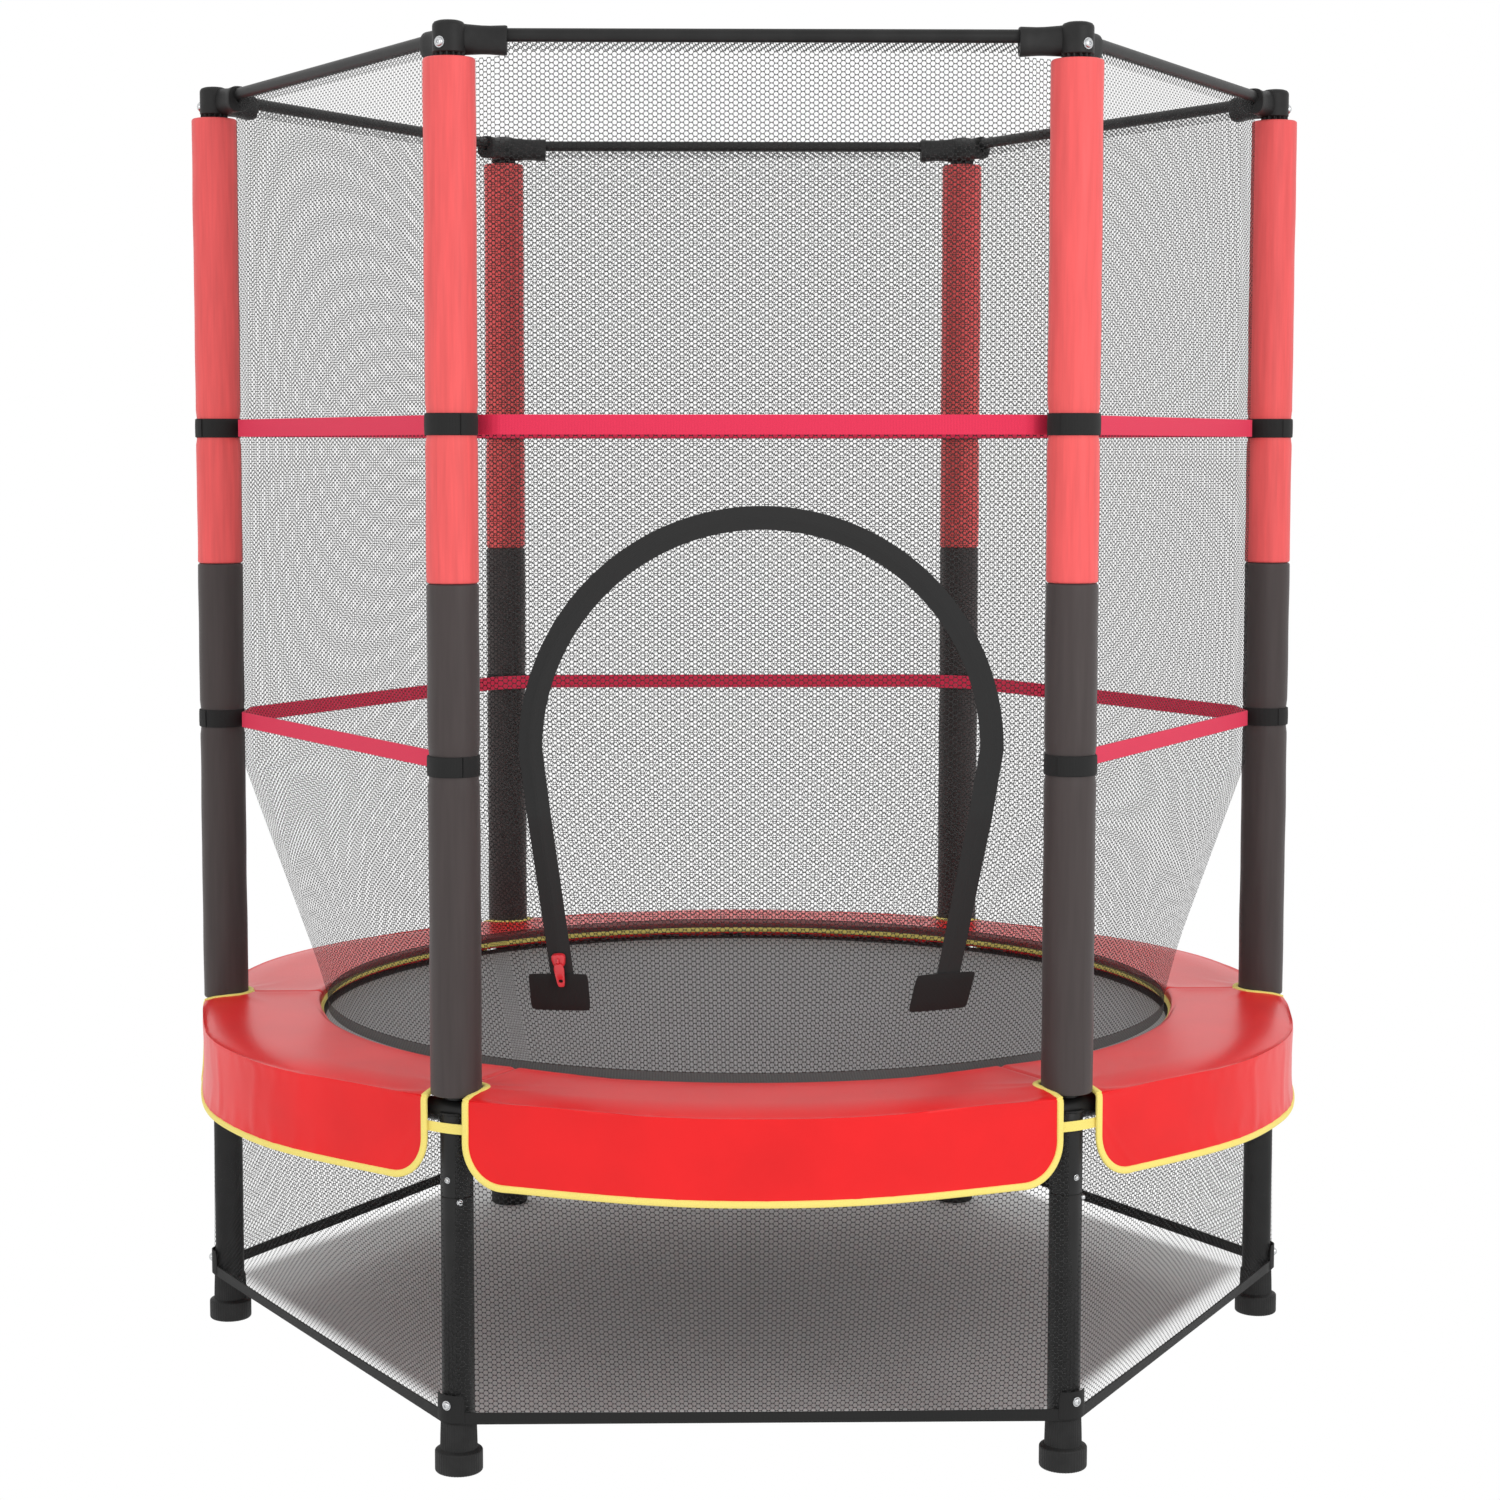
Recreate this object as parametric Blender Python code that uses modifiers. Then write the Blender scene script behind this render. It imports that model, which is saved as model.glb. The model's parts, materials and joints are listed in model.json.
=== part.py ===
"""Small round trampoline with a six-sided safety net, for Blender 4.5. Metres, +Z up, front towards -Y.

The steel ring stands on six legs. Each leg's socket is welded under the ring, and a pole in two foam
sleeves stands above it. Six rods join the pole tops and carry the net. The floor is z = 0 and the
ring's centre is on the Z axis.
"""

import math

import bmesh
import bpy
from mathutils import Matrix, Vector

# The ring, its legs and its poles
RING_RADIUS = 0.6635  # from the Z axis to each leg, pole and the ring tube's own axis
RING_HEIGHT = 0.400
TUBE_RADIUS = 0.0125
TUBE_BORE = 0.0113
RAIL_STEP_DEG = 6.0
RAIL_HALF_DEG = 29.93
RAIL_HOLLOW_END_DEG = 22.0  # the bore stops here, short of the end that holds the swaged spigot
SWAGE_START_DEG = 25.0
RING_JOIN_OFFSET = 0.001  # the socket and the pole spigot end this far from the ring's mid-height
SOCKET_RADIUS = 0.018
SOCKET_BORE = 0.0166
SOCKET_BOTTOM = 0.308
SOCKET_BORE_TOP = 0.384
RING_SPIGOT_RADIUS = 0.0098
POLE_SPIGOT_RADIUS = 0.0105
POLE_SPIGOT_BORE = 0.0093
POLE_SPIGOT_TOP = 0.480
LEG_RADIUS = 0.018
LEG_BORE = 0.0145
LEG_NECK_RADIUS = 0.0158
LEG_NECK_TOP = 0.370
LEG_BOTTOM = 0.0065
GAP = 0.0003  # between faces that touch
CUT_OVERRUN = 0.02  # how far a cutting tool reaches past what it cuts

FOOT_RADIUS = 0.0255
FOOT_BASE_HEIGHT = 0.025
FOOT_COLLAR_RADIUS = 0.0205
FOOT_TOP = 0.057
FOOT_BORE = 0.0184
FOOT_FLOOR = 0.006
FOOT_SHOULDER = 0.003
FOOT_EDGE = 0.002

POLE_TOP = 1.554
POLE_CLEARANCE = 0.001
FOAM_RADIUS = 0.028
FOAM_BORE = 0.0130
FOAM_BOTTOM = 0.419
FOAM_JOINT = 0.9725
FOAM_TOP = 1.5255

# The pole caps and the rods between them
CAP_RADIUS = 0.0175
CAP_BOTTOM = 1.527
CAP_TOP = 1.565
CAP_BORE = 0.0131
CAP_CEILING_GAP = 0.0008
ARM_RADIUS = 0.015
ARM_HEIGHT = 1.545
ARM_END = 0.056
ROD_RADIUS = 0.00725
ROD_HEIGHT = 1.5508
ROD_END_GAP = 0.022
ROD_BORE = 0.0079
ROD_BORE_EXTRA = 0.002
ROD_APOTHEM = 0.566

# The safety net: upright sides with cut corners, drawn in to a circle at its foot
NET_SIDE = 0.566
NET_CORNER = 0.631
NET_TOP = 1.522
NET_WAIST = 0.720
NET_MIDDLE = 0.560
NET_BOTTOM = 0.430
NET_FOOT_RADIUS = 0.530
NET_THICKNESS = 0.002
NET_COLUMNS = 6
NET_SOLVE_STEPS = 30

# The doorway's outline, seen from the front
DOOR_X = -0.008
DOOR_SILL = 0.585
DOOR_SPRING = 0.800
DOOR_RADIUS = 0.2465
DOOR_FOOT_HALF = 0.209
DOOR_FOOT = 0.530
DOOR_GAP = 0.0008
DOOR_ARC_STEPS = 24
DOOR_BLOCK_Y = -0.530
DOOR_BLOCK_DEPTH = 0.16

# The skirt net: a rounded hexagon outside the legs, opened to a circle at the ring
SKIRT_THICKNESS = 0.0015
SKIRT_CORNER = 0.0200
SKIRT_BOTTOM = 0.058
SKIRT_MIDDLE = 0.220
SKIRT_TOP = 0.398
SKIRT_TOP_RADIUS = 0.6835
SKIRT_CORNER_STEP_DEG = 15.0

# The pad over the ring
PAD_RADIUS = 0.700
PAD_INNER = 0.540
PAD_TOP = 0.427
PAD_UNDERSIDE = 0.408
PAD_OVER_RING = 0.4135
PAD_SKIRT_BOTTOM = 0.323
PAD_SKIRT_INNER = 0.688
PAD_INNER_EDGE = (0.006, 0.003)  # how far the bevel of the inner edge runs along and down
PAD_OUTER_EDGE = (0.012, 0.009)
PAD_RECESS = (0.640, 0.648)  # where the underside steps up over the ring
PAD_SIDES = 72
NOTCH_HALF = 0.024
NOTCH_CORNER = 0.045
NOTCH_ROUND_POLE = 0.0286
NOTCH_ARC_STEPS = 6
NOTCH_SLOT_RADIUS = 0.695
NOTCH_SLOT_DEPTH = 0.06

# The mat and its elastic cord
MAT_RADIUS = 0.560
MAT_THICKNESS = 0.003
MAT_SIDES = 48
LACING_RADIUS = 0.0025
LACING_INNER = 0.566
LACING_OUTER = 0.6465
LACING_HOOKS = 36

# The zip's slider and pull tab, at the doorway's lower left
SLIDER_HEIGHT = 0.5575
SLIDER_TOP_HALF = 0.0085
SLIDER_FOOT_HALF = 0.0062
SLIDER_LENGTH = 0.016
SLIDER_THICKNESS = 0.005
SLIDER_STANDOFF = 0.003
SLIDER_BEVEL = (0.003, 0.004)
ZIP_AXIS_TOP = 0.700  # a second height on the zip, for its direction
ZIP_SIDE_STEP = 0.020
PULL_HALF = 0.0056
PULL_LENGTH = 0.026
PULL_THICKNESS = 0.0022
PULL_PIVOT_DROP = 0.003
PULL_GAP = 0.0005
PULL_CROWN = 0.4  # the top edge's rise, as a share of the thickness
PULL_ARC_STEPS = 8
SLOT_HALF = 0.0026
SLOT_RISE = 0.0042
SLOT_LIFT = 0.001
SLOT_DEPTH = 0.010

CORNERS = ("right", "back_right", "back_left", "left", "front_left", "front_right")
SIDES = ("back_right", "back", "back_left", "front_left", "front", "front_right")
SECTOR = math.radians(60)
ROUND_SIDES = 16
SHARP_DEG = 35.0
TUBE_SIDES = 12
PARTS = "trampoline"
CUTTERS = "trampoline_cutters"


def clear_scene():
    for obj in list(bpy.data.objects):
        bpy.data.objects.remove(obj)


def add_collection(name):
    made = bpy.data.collections.new(name)
    bpy.context.scene.collection.children.link(made)


def add_material(name, colour, roughness, metallic=0.0):
    made = bpy.data.materials.new(name)
    made.use_nodes = True
    shader = made.node_tree.nodes["Principled BSDF"]
    shader.inputs["Base Color"].default_value = (*colour, 1.0)
    shader.inputs["Roughness"].default_value = roughness
    shader.inputs["Metallic"].default_value = metallic
    return made


def guide(name, data):
    """An object for cutting or joining, which is not itself a part."""
    made = bpy.data.objects.new(name, data)
    made.hide_render = True
    made.display_type = "WIRE"
    bpy.data.collections[CUTTERS].objects.link(made)
    return made


def applied(obj):
    """The object's shape with its modifiers, placed and welded, as a mesh. The object is removed."""
    bpy.context.view_layer.update()
    graph = bpy.context.evaluated_depsgraph_get()
    mesh = bpy.data.meshes.new_from_object(obj.evaluated_get(graph))
    mesh.transform(obj.matrix_world)
    shape = bmesh.new()
    shape.from_mesh(mesh)
    bmesh.ops.remove_doubles(shape, verts=shape.verts, dist=1e-6)
    shape.to_mesh(mesh)
    shape.free()
    bpy.data.objects.remove(obj)
    return mesh


def joined(obj, tool, operation):
    """Adds a Boolean of the tool to the object."""
    modifier = obj.modifiers.new(tool.name, "BOOLEAN")
    modifier.object = tool
    modifier.operation = operation
    return obj


def part(name, mesh, material, turn=0.0):
    """One named sub-part. The mesh is turned about the Z axis by turn."""
    made = bpy.data.objects.new(name, mesh)
    made.rotation_euler.z = turn
    if not mesh.materials:
        mesh.materials.append(material)
    mesh.shade_smooth()
    mesh.set_sharp_from_angle(angle=math.radians(SHARP_DEG))
    bpy.data.collections[PARTS].objects.link(made)
    return made


def six(kind, mesh, material, names=CORNERS):
    """Six copies of a sub-part, one for each corner or side."""
    for index, name in enumerate(names):
        part(f"{kind}_{name}", mesh, material, index * SECTOR)


def turned(name, profile, sides, x=0.0):
    """A closed profile of (radius, height), turned about a vertical axis at x. Its outer side runs down."""
    mesh = bpy.data.meshes.new(name)
    last = len(profile) - 1
    edges = [(i, i + 1) for i in range(last)]
    if profile[0][0] > 0 or profile[last][0] > 0:
        edges.append((last, 0))
    mesh.from_pydata([(r, 0.0, z) for r, z in profile], edges, [])
    made = guide(name, mesh)
    made.location.x = x
    screw = made.modifiers.new("turn", "SCREW")
    screw.axis = "Z"
    screw.angle = math.tau
    screw.steps = sides
    screw.render_steps = sides
    screw.use_merge_vertices = True
    screw.merge_threshold = 0.0001
    return made


def pipe(name, outer, inner, bottom, top, sides, x=RING_RADIUS):
    """A straight tube, open at both ends."""
    profile = [(outer, top), (outer, bottom), (inner, bottom), (inner, top)]
    return turned(name, profile, sides, x)


def plug(name, radius, bottom, top, sides, x=RING_RADIUS):
    """A solid upright cylinder."""
    return turned(name, [(0.0, top), (radius, top), (radius, bottom), (0.0, bottom)], sides, x)


def arc_bar(name, radius, start_deg, end_deg):
    """A solid round bar along the ring's centreline. Its bends lie at the same angles on every arc."""
    bends = [step * RAIL_STEP_DEG for step in range(-10, 11)]
    degrees = [start_deg, *(bend for bend in bends if start_deg + 0.1 < bend < end_deg - 0.1), end_deg]
    points = []
    for angle in map(math.radians, degrees):
        points.append((RING_RADIUS * math.cos(angle), RING_RADIUS * math.sin(angle), RING_HEIGHT))
    return guide(name, applied(bar(name, points, radius)))


def bar(name, points, radius, closed=False):
    """A round bar through the points."""
    curve = bpy.data.curves.new(name, "CURVE")
    curve.dimensions = "3D"
    curve.bevel_depth = radius
    curve.bevel_resolution = 2
    curve.use_fill_caps = not closed
    spline = curve.splines.new("POLY")
    spline.points.add(len(points) - 1)
    for target, point in zip(spline.points, points):
        target.co = (*point, 1.0)
    spline.use_cyclic_u = closed
    return guide(name, curve)


def prism(name, outline, thickness, place):
    """A flat outline, extruded by half the thickness to each side and put in place by a matrix."""
    curve = bpy.data.curves.new(name, "CURVE")
    curve.dimensions = "2D"
    curve.fill_mode = "BOTH"
    curve.extrude = thickness / 2
    spline = curve.splines.new("POLY")
    spline.points.add(len(outline) - 1)
    for target, point in zip(spline.points, outline):
        target.co = (*point, 0.0, 1.0)
    spline.use_cyclic_u = True
    made = guide(name, curve)
    made.matrix_world = place
    return guide(name, applied(made))


def shell(name, rings, thickness):
    """An open sleeve through equal rings of points, with a wall centred on it."""
    shape = bmesh.new()
    rows = [[shape.verts.new(point) for point in ring] for ring in rings]
    count = len(rings[0])
    for low, high in zip(rows, rows[1:]):
        for i in range(count):
            j = (i + 1) % count
            shape.faces.new((low[i], low[j], high[j], high[i]))
    mesh = bpy.data.meshes.new(name)
    shape.to_mesh(mesh)
    shape.free()
    made = guide(name, mesh)
    wall = made.modifiers.new("wall", "SOLIDIFY")
    wall.thickness = thickness
    wall.offset = 0.0
    wall.use_even_offset = True
    return made


def net_radius(angle, height):
    """The safety net's distance from the Z axis: flat sides and cut corners, drawn in to a circle."""
    from_corner = (angle + SECTOR / 2) % SECTOR - SECTOR / 2
    from_side = angle % SECTOR - SECTOR / 2
    upright = min(NET_CORNER / math.cos(from_corner), NET_SIDE / math.cos(from_side))
    share = min(1.0, max(0.0, (NET_WAIST - height) / (NET_WAIST - NET_BOTTOM)))
    return upright * (1 - share) + NET_FOOT_RADIUS * share


def net_ring(height):
    """The net's outline at a height: both ends of each cut corner, and points along each side."""
    half_cut = (NET_SIDE - NET_CORNER * math.cos(SECTOR / 2)) / math.sin(SECTOR / 2)
    cut = math.atan2(half_cut, NET_CORNER)
    points = []
    for corner in range(len(CORNERS)):
        start = corner * SECTOR + cut
        span = SECTOR - 2 * cut
        for step in range(NET_COLUMNS + 1):
            angle = start + span * step / NET_COLUMNS
            radius = net_radius(angle, height)
            points.append((radius * math.cos(angle), radius * math.sin(angle), height))
    return points


def front_net(x, height):
    """The point of the front side's net at x and a height."""
    angle = math.radians(270)
    for _ in range(NET_SOLVE_STEPS):
        angle = math.radians(270) + math.asin(x / net_radius(angle, height))
    radius = net_radius(angle, height)
    return Vector((radius * math.cos(angle), radius * math.sin(angle), height))


def zip_half(height):
    """Half the doorway's width at a height on its straight legs."""
    share = (height - DOOR_FOOT) / (DOOR_SPRING - DOOR_FOOT)
    return DOOR_FOOT_HALF + (DOOR_RADIUS - DOOR_FOOT_HALF) * share


def door_outline(inset):
    """The doorway from its sill up straight legs and over a half circle, as (x, z)."""
    radius = DOOR_RADIUS - inset
    foot = zip_half(DOOR_SILL) - inset
    points = [(DOOR_X + foot, DOOR_SILL + inset)]
    for step in range(DOOR_ARC_STEPS + 1):
        angle = math.pi * step / DOOR_ARC_STEPS
        points.append((DOOR_X + radius * math.cos(angle), DOOR_SPRING + radius * math.sin(angle)))
    points.append((DOOR_X - foot, DOOR_SILL + inset))
    return points


def door_block(name, inset):
    """A block of the doorway's outline, through the front side of the net only."""
    upright = Matrix.Translation((0, DOOR_BLOCK_Y, 0)) @ Matrix.Rotation(math.radians(90), 4, "X")
    return prism(name, door_outline(inset), DOOR_BLOCK_DEPTH, upright)


def skirt_ring(height):
    """The skirt net's outline at a height, between the rounded hexagon and the circle."""
    share = (height - SKIRT_BOTTOM) / (SKIRT_TOP - SKIRT_BOTTOM)
    points = []
    for corner in range(len(CORNERS)):
        middle = corner * SECTOR
        leg = Vector((math.cos(middle), math.sin(middle))) * RING_RADIUS
        for step in (-2, -1, 0, 1, 2):
            angle = middle + math.radians(SKIRT_CORNER_STEP_DEG) * step
            points.append(leg + Vector((math.cos(angle), math.sin(angle))) * SKIRT_CORNER)
        first = points[-1]
        following = middle + SECTOR
        last = Vector((math.cos(following), math.sin(following))) * RING_RADIUS
        tangent = middle + SECTOR / 2
        last = last + Vector((math.cos(tangent), math.sin(tangent))) * SKIRT_CORNER
        points.extend(first.lerp(last, step / 4) for step in (1, 2, 3))
    ring = []
    for point in points:
        circle = point.normalized() * SKIRT_TOP_RADIUS
        placed = point.lerp(circle, share)
        ring.append((placed.x, placed.y, height))
    return ring


def frame_rails(steel):
    """Sixty degrees of the ring, with a leg socket below, a pole spigot above and a spigot for the next."""
    rail = arc_bar("rail_tube", TUBE_RADIUS, -RAIL_HALF_DEG, RAIL_HALF_DEG)
    socket_head = RING_HEIGHT - RING_JOIN_OFFSET
    socket = plug("leg_socket", SOCKET_RADIUS, SOCKET_BOTTOM, socket_head, ROUND_SIDES)
    foot = RING_HEIGHT + RING_JOIN_OFFSET
    spigot = pipe("pole_spigot", POLE_SPIGOT_RADIUS, POLE_SPIGOT_BORE, foot, POLE_SPIGOT_TOP, TUBE_SIDES)
    bore = arc_bar("rail_bore", TUBE_BORE, -RAIL_HALF_DEG - RAIL_STEP_DEG, RAIL_HOLLOW_END_DEG)
    bore_foot = SOCKET_BOTTOM - CUT_OVERRUN
    socket_bore = plug("socket_bore", SOCKET_BORE, bore_foot, SOCKET_BORE_TOP, ROUND_SIDES)
    swage_end = math.degrees(SECTOR / 2) + RAIL_STEP_DEG
    swage = arc_bar("swage", RING_SPIGOT_RADIUS, SWAGE_START_DEG, swage_end)
    for tool in (socket, spigot):
        joined(rail, tool, "UNION")
    for tool in (bore, socket_bore):
        joined(rail, tool, "DIFFERENCE")
    joined(rail, swage, "UNION")
    six("frame_rail", applied(rail), steel)


def legs(steel):
    """A tube with a reduced neck that goes up into its socket."""
    shoulder = SOCKET_BOTTOM - GAP
    profile = [
        (LEG_NECK_RADIUS, LEG_NECK_TOP),
        (LEG_NECK_RADIUS, shoulder),
        (LEG_RADIUS, shoulder),
        (LEG_RADIUS, LEG_BOTTOM),
        (LEG_BORE, LEG_BOTTOM),
        (LEG_BORE, LEG_NECK_TOP),
    ]
    six("leg", applied(turned("leg_profile", profile, ROUND_SIDES, RING_RADIUS)), steel)


def foot_caps(plastic):
    """A cup with a wide base and a slimmer collar."""
    profile = [
        (0.0, FOOT_FLOOR),
        (FOOT_BORE, FOOT_FLOOR),
        (FOOT_BORE, FOOT_TOP),
        (FOOT_COLLAR_RADIUS, FOOT_TOP),
        (FOOT_COLLAR_RADIUS, FOOT_BASE_HEIGHT + FOOT_SHOULDER),
        (FOOT_RADIUS, FOOT_BASE_HEIGHT),
        (FOOT_RADIUS, FOOT_EDGE),
        (FOOT_RADIUS - FOOT_EDGE, 0.0),
        (0.0, 0.0),
    ]
    six("foot_cap", applied(turned("foot_profile", profile, ROUND_SIDES, RING_RADIUS)), plastic)


def poles(steel, red_cover, dark_cover):
    """Each pole is a tube over its spigot, inside a dark foam sleeve and a red one."""
    over_ring = RING_HEIGHT + TUBE_RADIUS + POLE_CLEARANCE
    tube = pipe("pole_tube", TUBE_RADIUS, TUBE_BORE, over_ring, POLE_TOP, TUBE_SIDES)
    six("pole", applied(tube), steel)
    lower = pipe("dark_sleeve", FOAM_RADIUS, FOAM_BORE, FOAM_BOTTOM, FOAM_JOINT - GAP, ROUND_SIDES)
    six("foam_sleeve_lower", applied(lower), dark_cover)
    upper = pipe("red_sleeve", FOAM_RADIUS, FOAM_BORE, FOAM_JOINT, FOAM_TOP, ROUND_SIDES)
    six("foam_sleeve_upper", applied(upper), red_cover)


def lying_bar(name, radius, start, end, sides):
    """A solid cylinder between two points."""
    line = end - start
    bpy.ops.mesh.primitive_cylinder_add(
        vertices=sides,
        radius=radius,
        depth=line.length,
        location=(start + end) / 2,
        rotation=line.to_track_quat("Z", "Y").to_euler(),
    )
    made = bpy.context.object
    made.name = name
    for collection in list(made.users_collection):
        collection.objects.unlink(made)
    bpy.data.collections[CUTTERS].objects.link(made)
    made.hide_render = True
    made.display_type = "WIRE"
    return made


def rod_corner(height):
    """Where the rods' lines cross near the first pole, at a height."""
    return Vector((ROD_APOTHEM / math.cos(SECTOR / 2), 0.0, height))


def pole_caps(plastic):
    """A socket on the pole's top, with an arm along each neighbouring side."""
    cap = plug("cap_body", CAP_RADIUS, CAP_BOTTOM, CAP_TOP, ROUND_SIDES)
    tools = []
    for sign in (-1, 1):
        along = Vector((math.cos(math.radians(120)), sign * math.sin(math.radians(120)), 0.0))
        start = rod_corner(ARM_HEIGHT)
        arm = lying_bar(f"arm_{sign}", ARM_RADIUS, start, start + along * ARM_END, TUBE_SIDES)
        start = rod_corner(ROD_HEIGHT) + along * (ROD_END_GAP - ROD_BORE_EXTRA)
        bore = lying_bar(f"rod_bore_{sign}", ROD_BORE, start, start + along * ARM_END, TUBE_SIDES)
        joined(cap, arm, "UNION")
        tools.append(bore)
    ceiling = POLE_TOP + CAP_CEILING_GAP
    tools.append(plug("pole_bore", CAP_BORE, CAP_BOTTOM - CUT_OVERRUN, ceiling, TUBE_SIDES))
    for tool in tools:
        joined(cap, tool, "DIFFERENCE")
    six("pole_cap", applied(cap), plastic)


def top_rails(steel):
    """Six rods between the caps."""
    half = ROD_APOTHEM * math.tan(SECTOR / 2) - ROD_END_GAP
    middle = Vector((ROD_APOTHEM * math.cos(SECTOR / 2), ROD_APOTHEM * math.sin(SECTOR / 2), ROD_HEIGHT))
    along = Vector((-math.sin(SECTOR / 2), math.cos(SECTOR / 2), 0.0))
    rod = lying_bar("rod", ROD_RADIUS, middle - along * half, middle + along * half, TUBE_SIDES)
    six("top_rail", applied(rod), steel, SIDES)


def jump_mat(fabric):
    """A round mat, on the sliding joint's axis."""
    half = MAT_THICKNESS / 2
    disc = plug("mat_disc", MAT_RADIUS, RING_HEIGHT - half, RING_HEIGHT + half, MAT_SIDES, 0.0)
    part("jump_mat", applied(disc), fabric)


def mat_lacing(elastic):
    """One elastic cord, zigzag between the mat's edge and the ring."""
    points = []
    for hook in range(LACING_HOOKS):
        for radius, half_step in ((LACING_INNER, 0.0), (LACING_OUTER, 0.5)):
            angle = math.tau * (hook + half_step) / LACING_HOOKS
            points.append((radius * math.cos(angle), radius * math.sin(angle), RING_HEIGHT))
    part("mat_lacing", applied(bar("lacing", points, LACING_RADIUS, closed=True)), elastic)


def pad_notch():
    """The gap between two flaps of the pad at the first pole, with rounded lower corners."""
    top = PAD_TOP + CUT_OVERRUN
    right = [(NOTCH_HALF, top)]
    for step in range(NOTCH_ARC_STEPS + 1):
        angle = math.radians(90) * step / NOTCH_ARC_STEPS
        across = NOTCH_HALF + NOTCH_CORNER * (1 - math.cos(angle))
        right.append((across, PAD_SKIRT_BOTTOM + NOTCH_CORNER * (1 - math.sin(angle))))
    right.append((NOTCH_HALF + NOTCH_CORNER, PAD_SKIRT_BOTTOM - CUT_OVERRUN))
    outline = right + [(-across, height) for across, height in reversed(right)]
    facing_out = Matrix(((0, 0, 1, NOTCH_SLOT_RADIUS), (1, 0, 0, 0), (0, 1, 0, 0), (0, 0, 0, 1)))
    slot = prism("notch_slot", outline, NOTCH_SLOT_DEPTH, facing_out)
    foot = PAD_SKIRT_BOTTOM - CUT_OVERRUN * 1.5
    hole = plug("notch_hole", NOTCH_ROUND_POLE, foot, top + CUT_OVERRUN / 2, ROUND_SIDES)
    # Half a side's turn keeps the hole's faces off the slot's own planes.
    hole.rotation_euler.z = math.pi / ROUND_SIDES
    return applied(joined(hole, slot, "UNION"))


def frame_pad(vinyl):
    """A flat cover over the ring and lacing, with a skirt down its outside, notched at each pole."""
    inner_run, inner_drop = PAD_INNER_EDGE
    outer_run, outer_drop = PAD_OUTER_EDGE
    recess_start, recess_end = PAD_RECESS
    profile = [
        (PAD_INNER, PAD_TOP - inner_drop),
        (PAD_INNER + inner_run, PAD_TOP),
        (PAD_RADIUS - outer_run, PAD_TOP),
        (PAD_RADIUS, PAD_TOP - outer_drop),
        (PAD_RADIUS, PAD_SKIRT_BOTTOM),
        (PAD_SKIRT_INNER, PAD_SKIRT_BOTTOM),
        (PAD_SKIRT_INNER, PAD_UNDERSIDE),
        (PAD_SKIRT_INNER - inner_run, PAD_OVER_RING),
        (recess_end, PAD_OVER_RING),
        (recess_start, PAD_UNDERSIDE),
        (PAD_INNER, PAD_UNDERSIDE),
    ]
    pad = turned("pad_profile", profile, PAD_SIDES)
    notch = pad_notch()
    for index in range(len(CORNERS)):
        tool = guide(f"notch_{index}", notch)
        tool.rotation_euler.z = index * SECTOR
        joined(pad, tool, "DIFFERENCE")
    part("frame_pad", applied(pad), vinyl)


def safety_net(mesh_fabric):
    """The net round the poles, open at the doorway, and the door's own piece of net."""
    rings = [net_ring(z) for z in (NET_BOTTOM, NET_MIDDLE, NET_WAIST, NET_TOP)]
    wall = joined(shell("net_wall", rings, NET_THICKNESS), door_block("doorway", 0.0), "DIFFERENCE")
    part("enclosure_net", applied(wall), mesh_fabric)
    flap = shell("flap_wall", rings, NET_THICKNESS)
    joined(flap, door_block("door_blank", DOOR_GAP), "INTERSECT")
    hinge = front_net(DOOR_X, DOOR_SILL)
    hinge.y -= NET_THICKNESS / 2
    mesh = applied(flap)
    mesh.transform(Matrix.Translation(-hinge))
    door = part("door_flap", mesh, mesh_fabric)
    door.location = hinge


def skirt_net(mesh_fabric):
    """The net round the legs."""
    rings = [skirt_ring(z) for z in (SKIRT_BOTTOM, SKIRT_MIDDLE, SKIRT_TOP)]
    part("skirt_net", applied(shell("skirt_wall", rings, SKIRT_THICKNESS)), mesh_fabric)


def zip_frame():
    """A frame on the left zip leg: X along the net, Y inwards, Z up the leg."""
    foot = front_net(DOOR_X - zip_half(SLIDER_HEIGHT), SLIDER_HEIGHT)
    head = front_net(DOOR_X - zip_half(ZIP_AXIS_TOP), ZIP_AXIS_TOP)
    aside = front_net(DOOR_X - zip_half(SLIDER_HEIGHT) + ZIP_SIDE_STEP, SLIDER_HEIGHT)
    up = (head - foot).normalized()
    inwards = up.cross(aside - foot).normalized()
    across = inwards.cross(up)
    origin = foot - inwards * SLIDER_STANDOFF
    rows = [(across[i], inwards[i], up[i], origin[i]) for i in range(3)]
    return Matrix((*rows, (0, 0, 0, 1)))


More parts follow.
